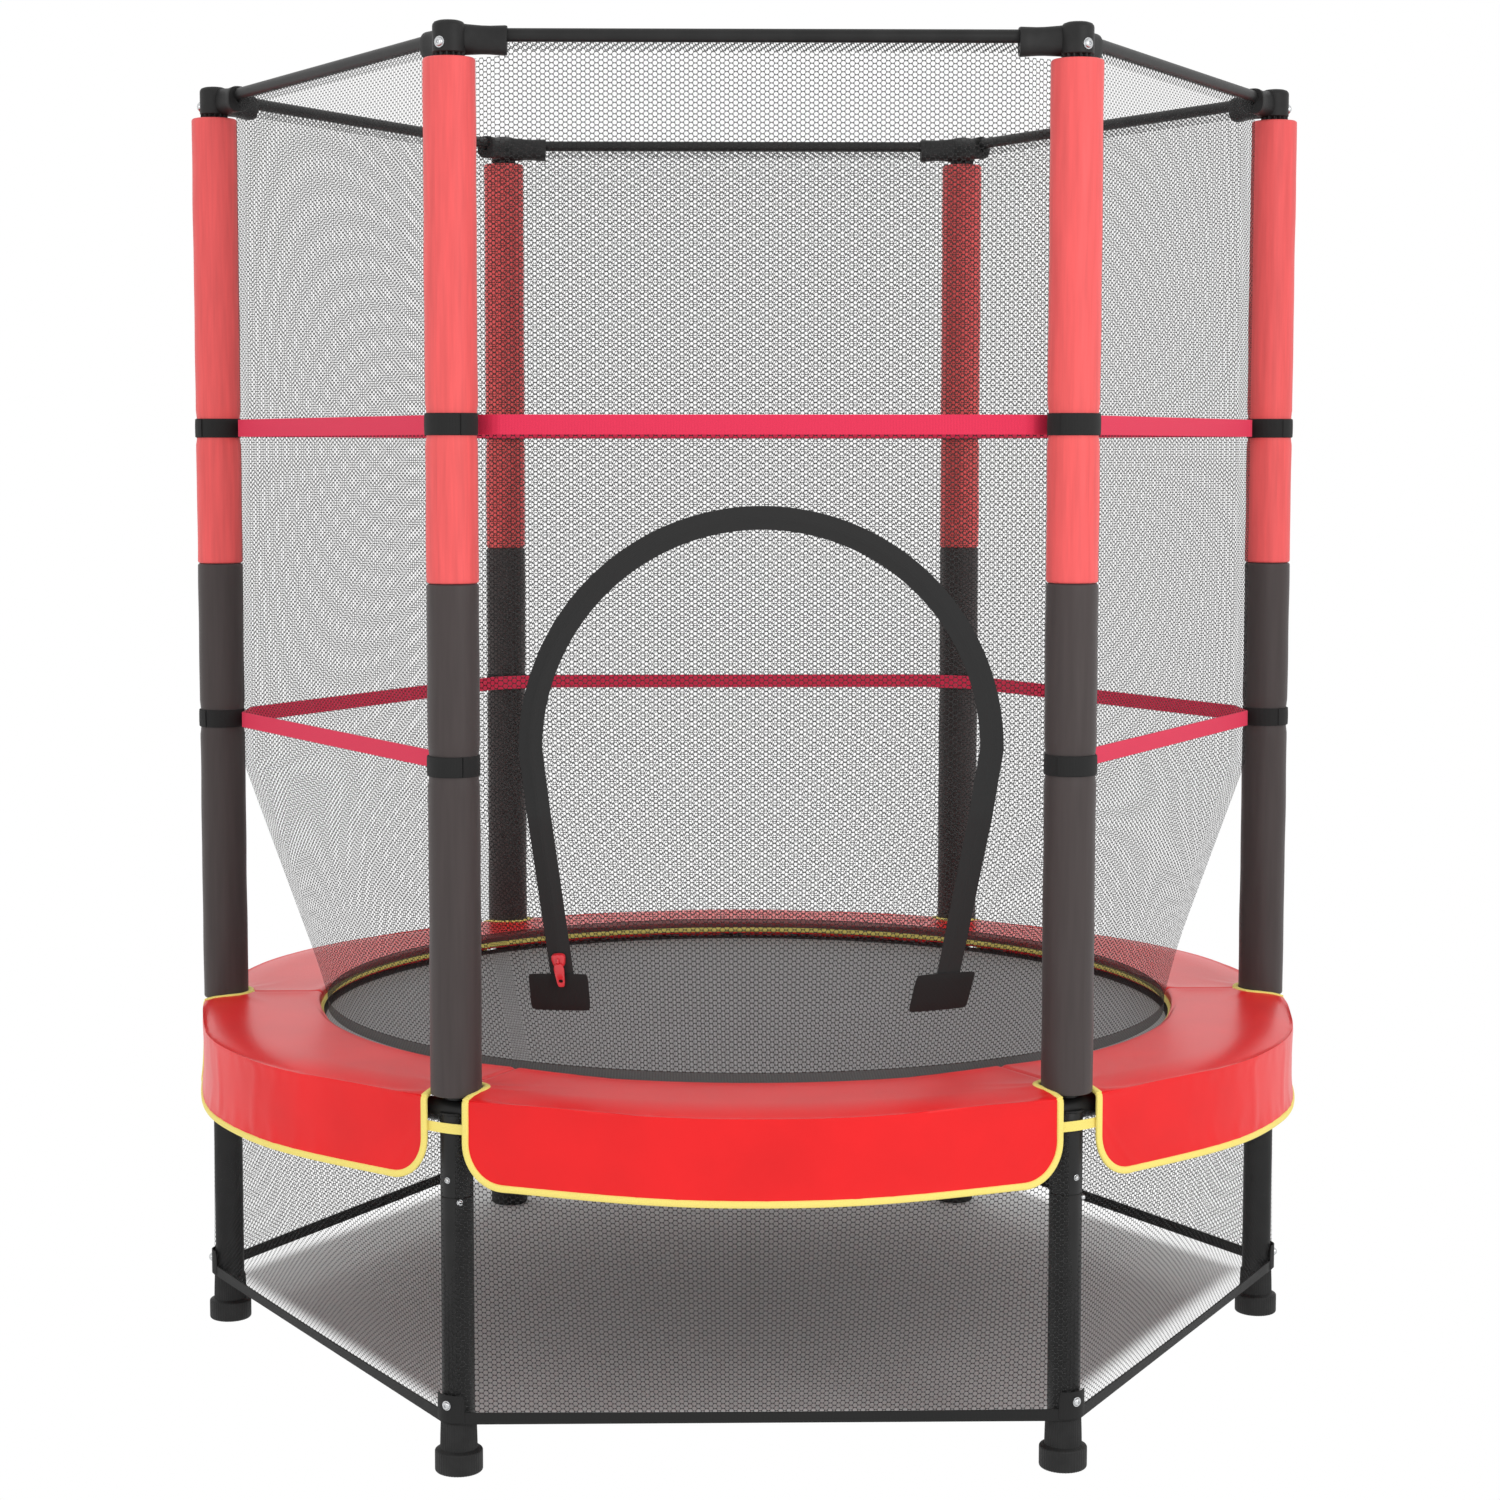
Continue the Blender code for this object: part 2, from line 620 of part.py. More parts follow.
def zip_parts(plastic):
    """A wedge-shaped slider that rides up the zip, and the tab that swings from it."""
    place = zip_frame()
    half = SLIDER_LENGTH / 2
    in_bevel, down_bevel = SLIDER_BEVEL
    flat = Matrix.Rotation(math.radians(90), 4, "X")
    wedge = [
        (-SLIDER_FOOT_HALF, -half),
        (SLIDER_FOOT_HALF, -half),
        (SLIDER_TOP_HALF, half - down_bevel),
        (SLIDER_TOP_HALF - in_bevel, half),
        (-SLIDER_TOP_HALF + in_bevel, half),
        (-SLIDER_TOP_HALF, half - down_bevel),
    ]
    middle = Matrix.Translation((0, -SLIDER_THICKNESS / 2, 0))
    slider = prism("slider_block", wedge, SLIDER_THICKNESS, middle @ flat)
    slider_part = part("zip_slider", applied(slider), plastic)
    slider_part.matrix_world = place
    front = SLIDER_THICKNESS + PULL_GAP + PULL_THICKNESS / 2
    pivot = place @ Matrix.Translation((0, -front, -PULL_PIVOT_DROP))
    tab = []
    for step in range(PULL_ARC_STEPS + 1):
        angle = math.pi * step / PULL_ARC_STEPS
        tab.append((PULL_HALF * math.cos(angle), PULL_CROWN * PULL_THICKNESS * math.sin(angle)))
    for step in range(PULL_ARC_STEPS + 1):
        angle = math.pi * (1 + step / PULL_ARC_STEPS)
        drop = PULL_LENGTH - PULL_HALF
        tab.append((PULL_HALF * math.cos(angle), -drop + PULL_HALF * math.sin(angle)))
    slot_middle = -PULL_LENGTH + PULL_HALF + SLOT_LIFT
    slot = [
        (-SLOT_HALF, slot_middle - SLOT_RISE / 2),
        (SLOT_HALF, slot_middle - SLOT_RISE / 2),
        (SLOT_HALF, slot_middle + SLOT_RISE / 2),
        (-SLOT_HALF, slot_middle + SLOT_RISE / 2),
    ]
    pull = prism("pull_plate", tab, PULL_THICKNESS, flat)
    joined(pull, prism("pull_slot", slot, SLOT_DEPTH, flat), "DIFFERENCE")
    pull_part = part("zip_pull", applied(pull), plastic)
    pull_part.matrix_world = pivot


def main():
    clear_scene()
    add_collection(PARTS)
    add_collection(CUTTERS)
    steel = add_material("black steel", (0.030, 0.030, 0.031), 0.42, 0.0)
    plastic = add_material("black plastic", (0.028, 0.028, 0.029), 0.55)
    red_cover = add_material("red sleeve fabric", (0.80, 0.12, 0.11), 0.62)
    dark_cover = add_material("dark sleeve fabric", (0.075, 0.060, 0.060), 0.62)
    vinyl = add_material("red pad vinyl", (0.80, 0.03, 0.035), 0.32)
    mesh_fabric = add_material("net mesh", (0.10, 0.10, 0.10), 0.80)
    mat_fabric = add_material("mat fabric", (0.09, 0.088, 0.088), 0.70)
    elastic = add_material("elastic cord", (0.03, 0.03, 0.03), 0.75)
    zip_plastic = add_material("red zip plastic", (0.90, 0.04, 0.05), 0.35)
    frame_rails(steel)
    legs(steel)
    foot_caps(plastic)
    poles(steel, red_cover, dark_cover)
    pole_caps(plastic)
    top_rails(steel)
    jump_mat(mat_fabric)
    mat_lacing(elastic)
    frame_pad(vinyl)
    safety_net(mesh_fabric)
    skirt_net(mesh_fabric)
    zip_parts(zip_plastic)


main()
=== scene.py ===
"""The looks of a small round trampoline with a six-sided safety net, for Blender 4.5. Metres, +Z up.

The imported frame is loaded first. Each operator then makes one kind of piece round it: a surface worked
out on a grid, its finish, and the body that it rides on. The panel in the 3D view's sidebar lists them.
"""

import json
import math

import bmesh
import bpy
import numpy as np
from bpy.props import FloatProperty, FloatVectorProperty, PointerProperty
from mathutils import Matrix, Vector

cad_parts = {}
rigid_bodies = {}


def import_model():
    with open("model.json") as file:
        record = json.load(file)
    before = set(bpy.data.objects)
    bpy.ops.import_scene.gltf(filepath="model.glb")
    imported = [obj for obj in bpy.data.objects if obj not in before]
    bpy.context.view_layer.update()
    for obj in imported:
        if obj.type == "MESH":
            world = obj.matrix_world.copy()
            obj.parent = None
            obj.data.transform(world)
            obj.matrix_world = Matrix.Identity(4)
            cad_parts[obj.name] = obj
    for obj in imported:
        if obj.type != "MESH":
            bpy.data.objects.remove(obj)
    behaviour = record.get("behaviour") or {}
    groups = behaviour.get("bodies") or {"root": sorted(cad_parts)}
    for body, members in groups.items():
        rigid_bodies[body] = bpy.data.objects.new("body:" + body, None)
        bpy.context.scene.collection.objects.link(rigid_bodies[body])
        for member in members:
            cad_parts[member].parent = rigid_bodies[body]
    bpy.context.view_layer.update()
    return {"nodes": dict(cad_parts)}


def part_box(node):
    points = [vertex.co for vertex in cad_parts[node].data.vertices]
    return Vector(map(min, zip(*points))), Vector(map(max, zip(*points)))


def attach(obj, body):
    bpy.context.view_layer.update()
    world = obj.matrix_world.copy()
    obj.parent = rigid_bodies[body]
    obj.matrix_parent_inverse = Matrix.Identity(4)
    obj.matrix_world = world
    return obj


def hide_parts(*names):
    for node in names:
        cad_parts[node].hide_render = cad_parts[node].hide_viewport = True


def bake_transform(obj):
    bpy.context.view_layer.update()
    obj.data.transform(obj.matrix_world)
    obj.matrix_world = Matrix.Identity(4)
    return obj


bl_info = {
    "name": "Trampoline looks",
    "version": (1, 0, 0),
    "blender": (4, 5, 0),
    "location": "3D View > Sidebar > Trampoline",
    "description": "Makes the visible pieces and finishes of a small trampoline round its packed frame",
    "category": "Object",
}

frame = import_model()


def span(node, axis):
    """The lowest and highest coordinate of a node along one axis."""
    low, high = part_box(node)
    return low[axis], high[axis]


def middle(node, axis):
    return sum(span(node, axis)) / 2


def half_size(node, axis):
    low, high = span(node, axis)
    return (high - low) / 2


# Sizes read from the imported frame
POLE_CIRCLE = middle("pole_right", 0)
RING_HEIGHT = middle("jump_mat", 2)
TUBE_RADIUS = half_size("pole_right", 1)
POLE_FOOT, POLE_TOP = span("pole_right", 2)
SOCKET_BOTTOM = span("frame_rail_right", 2)[0]
LEG_RADIUS = half_size("leg_right", 1)
LEG_BOTTOM, LEG_NECK_TOP = span("leg_right", 2)
FOOT_RADIUS = half_size("foot_cap_right", 1) + 0.0009
FOOT_TOP = span("foot_cap_right", 2)[1]
FOAM_RADIUS = half_size("foam_sleeve_upper_right", 1)
FOAM_BOTTOM = span("foam_sleeve_lower_right", 2)[0]
FOAM_JOINT, FOAM_TOP = span("foam_sleeve_upper_right", 2)
CAP_BOTTOM, CAP_TOP = span("pole_cap_right", 2)
CAP_RADIUS = span("pole_cap_right", 0)[1] - POLE_CIRCLE
ROD_RADIUS = half_size("top_rail_front", 2)
ROD_HEIGHT = middle("top_rail_front", 2)
ROD_APOTHEM = -middle("top_rail_front", 1)
ROD_HALF_LENGTH = half_size("top_rail_front", 0)
PAD_RADIUS = span("frame_pad", 1)[1]
PAD_SKIRT_BOTTOM, PAD_TOP = span("frame_pad", 2)
MAT_RADIUS = span("jump_mat", 0)[1]
MAT_THICKNESS = 2 * half_size("jump_mat", 2)
NET_BOTTOM, NET_TOP = span("enclosure_net", 2)
SKIRT_BOTTOM, SKIRT_TOP = span("skirt_net", 2)

# Sizes that the frame's boxes don't give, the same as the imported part's own
SOCKET_RADIUS = 0.018
SOCKET_BORE = 0.0166
SOCKET_BORE_TOP = 0.384
LEG_NECK_RADIUS = 0.0158
FOAM_BORE = 0.0130
ARM_HEIGHT = 1.545
ARM_END = 0.056
ROD_BORE = 0.0079
NET_SIDE = 0.566
NET_CORNER = 0.631
NET_WAIST = 0.720
NET_FOOT_RADIUS = 0.530
DOOR_X = -0.0010
DOOR_FOOT_X = -0.0055
ZIP_X = -0.008
DOOR_SILL = 0.585
DOOR_SPRING = 0.793
DOOR_RADIUS = 0.2490
DOOR_FOOT_HALF = 0.2115
ZIP_HALF = (0.209, 0.2465)
ZIP_HEIGHTS = (0.530, 0.800)
DOOR_FOOT = 0.530
DOOR_GAP = 0.0008
SKIRT_CORNER = 0.0200
SKIRT_TOP_RADIUS = 0.6790
PAD_INNER = 0.540
PAD_UNDERSIDE = 0.4082
NOTCH_HALF = 0.0268
NOTCH_CORNER = 0.045
NOTCH_ROUND_POLE = 0.0286
LACING_INNER = 0.566
LACING_OUTER = 0.6465
LACING_HOOKS = 36
WEDGES = 12
SLIDER_HEIGHT = 0.5575
SLIDER_LENGTH = 0.016
SLIDER_THICKNESS = 0.005
SLIDER_STANDOFF = 0.003
SLIDER_TOP_HALF = 0.0085
SLIDER_FOOT_HALF = 0.0062
PULL_LENGTH = 0.026
PULL_HALF = 0.0056
PULL_THICKNESS = 0.0022
PULL_PIVOT_DROP = 0.003
PULL_GAP = 0.0005

# Webbing, straps and hems
UPPER_BAND = (1.1310, 1.1522)
LOWER_BAND = (0.7680, 0.7865)
STRAPS = ((1.1300, 1.1535), (0.7660, 0.7880))
NET_HEM = (0.4180, 0.4310)
SKIRT_HEM = (0.0580, 0.0710)
ROD_HEM_DEPTH = 0.009
TAPE_HALF = 0.0128
PATCH_SIZE = (0.066, 0.043)
PATCH_HEIGHT = 0.5185
PAD_DRAWN_IN = 0.0125
BINDING_WIDTH = 0.0080
ELASTIC = (0.3805, 0.3915)

# The stage
WHITE = (1.0, 1.0, 1.0, 1.0)
FLOOR_GREY = 0.645
# Middle and edge of the hexagon beyond which the floor glows white instead of showing its own shading:
# painted light
GLOW_HEXAGON_MIDDLE = 0.196
GLOW_EDGE_FADE = (0.572, 0.606)
LIGHT_SIZE = 1.1
LIGHT_AIM = (0.0, 0.0, 0.8)
LIGHTS = {"key": ((1.5, -2.6, 1.7), 21.0), "fill": ((-1.5, -2.6, 1.7), 6.0)}
CAMERA_PLACE = (-0.120, -3.694, 1.114)
CAMERA_DOWN = 4.812
CAMERA_ASIDE = -1.061
LENS = 69.98
LENS_SHIFT = (0.0301, -0.0361)

# The width over which the edge of each of the net's holes fades. Two finishes are
# packed under another one's material slot
HOLE_EDGE = 0.00052

CORNERS = ("right", "back_right", "back_left", "left", "front_left", "front_right")
SIDES = ("back_right", "back", "back_left", "front_left", "front", "front_right")
SECTOR = math.radians(60)
FULL = math.tau
CUT_HALF = (NET_SIDE - NET_CORNER * math.cos(SECTOR / 2)) / math.sin(SECTOR / 2)
CUT_ANGLE = math.atan2(CUT_HALF, NET_CORNER)
SIDE_HALF = NET_SIDE * math.tan(SECTOR / 2 - CUT_ANGLE)
FRONT = 1.5 * math.pi


# --- Grids, tubes and turned shapes -------------------------------------------------------------


def xyz(x, y, z):
    """Points from their coordinates, each a number or an array."""
    return np.stack(np.broadcast_arrays(x, y, z), axis=-1)


def polar(radius, angle, height):
    """Points from their distance from the Z axis, their angle and their height."""
    return xyz(radius * np.cos(angle), radius * np.sin(angle), height)


def heading(angle):
    """The level direction at an angle."""
    return polar(1.0, angle, 0.0)


def bent(wave, power):
    """A sine or cosine raised to a power with its sign kept, which makes a circle squarish."""
    return np.sign(wave) * np.abs(wave) ** power


def metric_uv(points):
    """Distance along the columns and along the rows of a grid, each averaged over the other way, in
    metres."""
    along = np.linalg.norm(np.diff(points, axis=1), axis=2).mean(axis=0)
    up = np.linalg.norm(np.diff(points, axis=0), axis=2).mean(axis=1)
    u = np.concatenate([[0.0], np.cumsum(along)])
    v = np.concatenate([[0.0], np.cumsum(up)])
    return np.stack(np.broadcast_arrays(u[None, :], v[:, None]), axis=-1)


def grid(points, uv=None):
    """A surface: points in rows and columns, each cell a face that looks along column step x row step."""
    return points, metric_uv(points) if uv is None else uv


def mesh_from(name, grids, weld=1e-5, closed=True):
    """One mesh of several grids. Points that meet are welded, and the normals of a closed one point out."""
    corners, coords, quads, first = [], [], [], 0
    for points, uv in grids:
        rows, columns = points.shape[:2]
        index = first + np.arange(rows * columns).reshape(rows, columns)
        cells = (index[:-1, :-1], index[:-1, 1:], index[1:, 1:], index[1:, :-1])
        quads.append(np.stack(cells, axis=-1).reshape(-1, 4))
        corners.append(points.reshape(-1, 3))
        coords.append(uv.reshape(-1, 2))
        first += rows * columns
    quads = np.concatenate(quads).astype(np.int32)
    mesh = bpy.data.meshes.new(name)
    mesh.vertices.add(first)
    mesh.vertices.foreach_set("co", np.concatenate(corners).astype(np.float32).ravel())
    mesh.loops.add(quads.size)
    mesh.loops.foreach_set("vertex_index", quads.ravel())
    mesh.polygons.add(len(quads))
    mesh.polygons.foreach_set("loop_start", np.arange(0, quads.size, 4, dtype=np.int32))
    mesh.update(calc_edges=True)
    layer = mesh.uv_layers.new(name="metres")
    layer.data.foreach_set("uv", np.concatenate(coords)[quads.ravel()].astype(np.float32).ravel())
    shape = bmesh.new()
    shape.from_mesh(mesh)
    bmesh.ops.remove_doubles(shape, verts=shape.verts, dist=weld)
    if closed:
        bmesh.ops.recalc_face_normals(shape, faces=shape.faces)
    shape.to_mesh(mesh)
    shape.free()
    return mesh


def piece(name, grids, maker, nodes=(), body="frame", closed=True, sharp=35.0):
    """A finished piece: its mesh, its finish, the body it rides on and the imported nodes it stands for."""
    mesh = mesh_from(name, grids, closed=closed)
    mesh.materials.append(finish(maker))
    mesh.shade_smooth()
    mesh.set_sharp_from_angle(angle=math.radians(sharp))
    made = bpy.data.objects.new(name, mesh)
    bpy.context.scene.collection.objects.link(made)
    if body:
        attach(made, body)
    if nodes:
        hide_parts(*nodes)
    return made


def turn(points, angle):
    """The points turned about the Z axis."""
    c, s = math.cos(angle), math.sin(angle)
    return points @ np.array([[c, s, 0.0], [-s, c, 0.0], [0.0, 0.0, 1.0]])


def six(kind, grids, maker, node="", names=CORNERS, **settings):
    """Six copies of a piece round the Z axis, each with its place in its mesh."""
    made = []
    for index, name in enumerate(names):
        turned_grids = [(turn(points, index * SECTOR), uv) for points, uv in grids]
        nodes = (node if node in frame["nodes"] else f"{node}_{name}",) if node else ()
        made.append(piece(f"{kind}_{name}", turned_grids, maker, nodes, **settings))
    return made


def unit(vectors):
    return vectors / np.linalg.norm(vectors, axis=-1, keepdims=True)


def turned(profile, sides=48, centre=(POLE_CIRCLE, 0.0), ribs=None):
    """A profile of (radius, height) carried round an upright axis, up its outer side.

    ribs is (count, depth): the radius rises and falls by half the depth, as a cosine of the angle.
    """
    radius, height = np.array(profile, float).T
    angle = np.linspace(0.0, FULL, sides + 1)
    around = radius[:, None] * np.ones_like(angle)
    if ribs:
        count, depth = ribs
        around = around + np.minimum(radius, depth)[:, None] * (np.cos(count * angle) - 1) / 2
    return grid(polar(around, angle, height[:, None]) + (*centre, 0.0))


def turned_on(profile, sides, origin, axis):
    """A turned shape whose axis runs from origin along axis, as on a bolt's head."""
    points, uv = turned(profile, sides, (0.0, 0.0))
    axis = unit(np.array(axis, float))
    side = unit(np.cross(axis, (0.0, 0.0, 1.0) if abs(axis[2]) < 0.9 else (1.0, 0.0, 0.0)))
    return points @ np.stack([side, np.cross(axis, side), axis]) + np.array(origin), uv


def arc(centre, radius, start_deg, end_deg, steps):
    """Points of a circle's arc, as (x, y) pairs."""
    angle = np.radians(np.linspace(start_deg, end_deg, steps))
    return [(centre[0] + radius * c, centre[1] + radius * s) for c, s in zip(np.cos(angle), np.sin(angle))]


def tube(path, wide, thick=None, sides=16, up=(0.0, 0.0, 1.0), closed=False, power=2.0):
    """A section carried along a path.

    The section is a superellipse: wide along up, thick across it, and squarer as power grows. Both may
    change along the path. The ends of an open tube are closed by a fan to the path's end points.
    """
    path = np.array(path, float)
    wide = np.broadcast_to(wide, len(path))
    thick = np.broadcast_to(wide if thick is None else thick, len(path))
    if closed:
        tangent = unit(np.roll(path, -1, axis=0) - np.roll(path, 1, axis=0))
    else:
        tangent = unit(np.gradient(path, axis=0))
    up = np.broadcast_to(np.array(up, float), path.shape)
    first = unit(up - (up * tangent).sum(axis=1, keepdims=True) * tangent)
    second = np.cross(tangent, first)
    angle = np.linspace(0.0, FULL, sides + 1)
    c, s = bent(np.cos(angle), 2 / power), bent(np.sin(angle), 2 / power)
    points = path[:, None] + wide[:, None, None] * c[:, None] * first[:, None]
    points = points + thick[:, None, None] * s[:, None] * second[:, None]
    if closed:
        points = np.concatenate([points, points[:1]])
    else:
        ends = np.repeat(path[[0, -1], None], sides + 1, axis=1)
        points = np.concatenate([ends[:1], points, ends[1:]])
    return grid(points)


def slab(outer, inner):
    """A closed sheet between two grids of the same size, with its four edges joined."""
    uv = metric_uv(outer)
    strips = [(outer, uv), (inner[:, ::-1], uv[:, ::-1])]
    for first, second, end in ((inner, outer, 0), (outer, inner, -1)):
        strips.append((np.stack([first[end], second[end]]), np.stack([uv[end]] * 2)))
        strips.append((np.stack([first[:, end], second[:, end]], axis=1), np.stack([uv[:, end]] * 2, axis=1)))
    return strips


def smooth(share):
    """0 before 0, 1 after 1, and an even S between."""
    share = np.clip(share, 0.0, 1.0)
    return share * share * (3 - 2 * share)


def bolt_head(origin, axis, radius):
    """A washer and a domed head with a round socket in it."""
    shares = (0.0, 1.25, 1.25, 1.0, 1.0, 0.86, 0.58, 0.40, 0.34, 0.0)
    heights = (-0.0010, -0.0010, 0.0007, 0.0007, 0.0014, 0.0026, 0.0033, 0.0034, 0.0020, 0.0018)
    return turned_on(np.stack([radius * np.array(shares), heights], axis=-1), 30, origin, axis)


# --- The nets' and the doorway's own shapes -----------------------------------------------------


def net_radius(angle, height):
    """The safety net's distance from the Z axis.

    The lesser of a flat side's and a cut corner's distance, mixed with a circle below the waist by how
    far down the point is.
    """
    from_corner = (angle + SECTOR / 2) % SECTOR - SECTOR / 2
    from_side = angle % SECTOR - SECTOR / 2
    upright = np.minimum(NET_CORNER / np.cos(from_corner), NET_SIDE / np.cos(from_side))
    share = np.clip((NET_WAIST - height) / (NET_WAIST - NET_BOTTOM), 0.0, 1.0)
    return upright * (1 - share) + NET_FOOT_RADIUS * share


def net_run(angle):
    """The distance round the upright net from the side at 30 degrees, which its holes are spaced by."""
    turns = np.floor(angle / SECTOR)
    from_side = angle % SECTOR - SECTOR / 2
    from_corner = SECTOR / 2 - np.abs(from_side)
    flat = NET_SIDE * np.tan(np.minimum(np.abs(from_side), SECTOR / 2 - CUT_ANGLE))
    cut = CUT_HALF - NET_CORNER * np.tan(np.minimum(from_corner, CUT_ANGLE))
    return turns * 2 * (SIDE_HALF + CUT_HALF) + np.sign(from_side) * (flat + cut)


def on_net(angle, height, out=0.0):
    """Points of the net, or at a distance outside it."""
    return polar(net_radius(angle, height) + out, angle, height)


def front_angle(x, height):
    """The angle at which the front net has this x, found by repeated correction."""
    angle = np.full(np.broadcast(x, height).shape, FRONT)
    for _ in range(30):
        angle = FRONT + np.arcsin(x / net_radius(angle, height))
    return angle


def on_front(x, height, out=0.0):
    """Points of the front net by x and height."""
    points = on_net(front_angle(x, height), height)
    points[..., 1] -= out
    return points


def zip_half(height):
    """Half the doorway's width at a height on its straight legs."""
    share = (height - DOOR_FOOT) / (DOOR_SPRING - DOOR_FOOT)
    return DOOR_FOOT_HALF + (DOOR_RADIUS - DOOR_FOOT_HALF) * share


def door_middle(height):
    """The doorway's middle: its legs lean a little to one side as they rise."""
    return np.interp(height, [DOOR_FOOT, DOOR_SPRING], [DOOR_FOOT_X, DOOR_X])


def door_line(foot, leg_steps=30, arc_steps=72):
    """The zip's line from the left foot over the arch to the right foot, and the way out of the doorway."""
    rise = np.linspace(foot, DOOR_SPRING, leg_steps, endpoint=False)
    over = np.linspace(math.pi, 0.0, arc_steps + 1)
    half = np.concatenate([-zip_half(rise), DOOR_RADIUS * np.cos(over), zip_half(rise[::-1])])
    z = np.concatenate([rise, DOOR_SPRING + DOOR_RADIUS * np.sin(over), rise[::-1]])
    x = half + door_middle(z)
    line = np.stack([x, z], axis=-1)
    along = unit(np.gradient(line, axis=0))
    return line, np.stack([-along[:, 1], along[:, 0]], axis=-1)


def door_reach(angle, inset):
    """How far the doorway's edge is from its middle, in a direction seen from the front."""
    line, out = door_line(DOOR_SILL)
    edge = line - out * inset
    edge[[0, -1], 1] = DOOR_SILL
    sill = np.stack([np.linspace(edge[-1, 0], edge[0, 0], 40), np.full(40, DOOR_SILL)], axis=-1)
    edge = np.concatenate([edge, sill[1:-1]]) - np.array([DOOR_X, DOOR_SPRING])
    bearing = np.arctan2(edge[:, 1], edge[:, 0])
    order = np.argsort(bearing)
    return np.interp(angle, bearing[order], np.hypot(*edge.T)[order], period=FULL)


def skirt_outline(out, corner_steps=12, side_steps=24):
    """The skirt's plan: arcs round the legs and straight sides between them, at a distance from the leg
    axes."""
    parts = []
    share = np.linspace(0.0, 1.0, side_steps, endpoint=False)[1:, None]
    for corner in range(len(CORNERS)):
        angle = corner * SECTOR + np.linspace(-SECTOR / 2, SECTOR / 2, corner_steps + 1)
        bend = POLE_CIRCLE * heading(corner * SECTOR) + out * heading(angle)
        far = POLE_CIRCLE * heading((corner + 1) * SECTOR) + out * heading(angle[-1])
        parts += [bend, bend[-1] * (1 - share) + far * share]
    plan = np.concatenate(parts)[:, :2]
    return np.concatenate([plan, plan[:1]])


def on_skirt(height, out):
    """The skirt's rows at these heights: its plan, mixed with a circle by how high the row is."""
    plan = skirt_outline(out)
    circle = unit(plan) * (SKIRT_TOP_RADIUS + out - SKIRT_CORNER)
    share = ((height - SKIRT_BOTTOM) / (SKIRT_TOP - SKIRT_BOTTOM))[:, None, None]
    flat = plan * (1 - share) + circle * share
    return xyz(flat[..., 0], flat[..., 1], height[:, None])


# --- Finishes -----------------------------------------------------------------------------------


def looks():
    return bpy.context.scene.trampoline_looks


def finish(maker):
    """The finish that this function makes, made once. The loaded frame has plain materials of the same
    names, so each finish has a name of its own."""
    name = maker.__name__ + "_finish"
    return bpy.data.materials.get(name) or maker(name)


def coat(name, colour, roughness, **sockets):
    """A material with its even values set on the shader itself."""
    material = bpy.data.materials.new(name)
    material.use_nodes = True
    shader = material.node_tree.nodes["Principled BSDF"]
    shader.inputs["Base Color"].default_value = (*colour, 1.0)
    shader.inputs["Roughness"].default_value = roughness
    for socket, value in sockets.items():
        shader.inputs[socket.replace("_", " ")].default_value = value
    return material, shader


def node(material, kind, inputs=(), **settings):
    """A node with its settings, and its inputs given as values or as other nodes' outputs."""
    made = material.node_tree.nodes.new(kind)
    for setting, value in settings.items():
        setattr(made, setting, value)
    for key, value in dict(inputs).items():
        if isinstance(value, bpy.types.NodeSocket):
            material.node_tree.links.new(value, made.inputs[key])
        else:
            made.inputs[key].default_value = value
    return made


def place(material, which):
    """Object coordinates, or the piece's own distances in metres."""
    return node(material, "ShaderNodeTexCoord").outputs[which]


def speckle(material, vector, scale, detail=3.0):
    inputs = {"Vector": vector, "Scale": scale, "Detail": detail}
    return node(material, "ShaderNodeTexNoise", inputs).outputs["Fac"]


def shaded(colour, factor):
    return tuple(channel * factor for channel in colour)


def join(material, output, shader, socket):
    material.node_tree.links.new(output, shader.inputs[socket])


def two_tone(material, shader, factor, colour, low, high, start=0.3, end=0.7):
    """The coat's colour, from low to high times this colour as the factor goes from start to end."""
    ramp = node(material, "ShaderNodeValToRGB", {"Fac": factor})
    for element, position, share in zip(ramp.color_ramp.elements, (start, end), (low, high)):
        element.position = position
        element.color = (*shaded(colour, share), 1.0)
    join(material, ramp.outputs["Color"], shader, "Base Color")


def raise_grain(material, shader, height, distance, strength=1.0):
    inputs = {"Height": height, "Distance": distance, "Strength": strength}
    join(material, node(material, "ShaderNodeBump", inputs).outputs["Normal"], shader, "Normal")


def ribs(material, vector, pitch, direction):
    """A wave of this pitch across one direction of the piece's own distances."""
    inputs = {"Vector": vector, "Scale": FULL / 20 / pitch}
    return node(material, "ShaderNodeTexWave", inputs, bands_direction=direction).outputs["Fac"]


def maths(material, operation, first, second):
    return node(material, "ShaderNodeMath", {0: first, 1: second}, operation=operation).outputs[0]


def vectors(material, operation, first, second=(0.0, 0.0, 0.0), output="Vector"):
    inputs = {0: first, 1: second}
    return node(material, "ShaderNodeVectorMath", inputs, operation=operation).outputs[output]


def woven(material, vector, pitch):
    """Over-and-under threads: two crossed waves, multiplied."""
    return maths(material, "MULTIPLY", *[ribs(material, vector, pitch, direction) for direction in "XY"])


def grained(name, colour, roughness, specular, grain, cloud, palest, depth):
    """A hard black coat: a fine grain over its whole surface, and a slow change of tone across it."""
    material, shader = coat(name, colour, roughness, Specular_IOR_Level=specular)
    where = place(material, "Object")
    two_tone(material, shader, speckle(material, where, cloud), colour, 0.8, palest)
    raise_grain(material, shader, speckle(material, where, grain), depth)
    return material


def black_steel(name):
    """Powder coat: fine orange peel."""
    return grained(name, looks().steel_black, 0.42, 0.25, 700.0, 30.0, 1.25, 0.00012)


def black_plastic(name):
    """Moulded plastic with a spark-eroded grain."""
    return grained(name, looks().plastic_black, 0.52, 0.22, 1400.0, 60.0, 1.2, 0.00015)


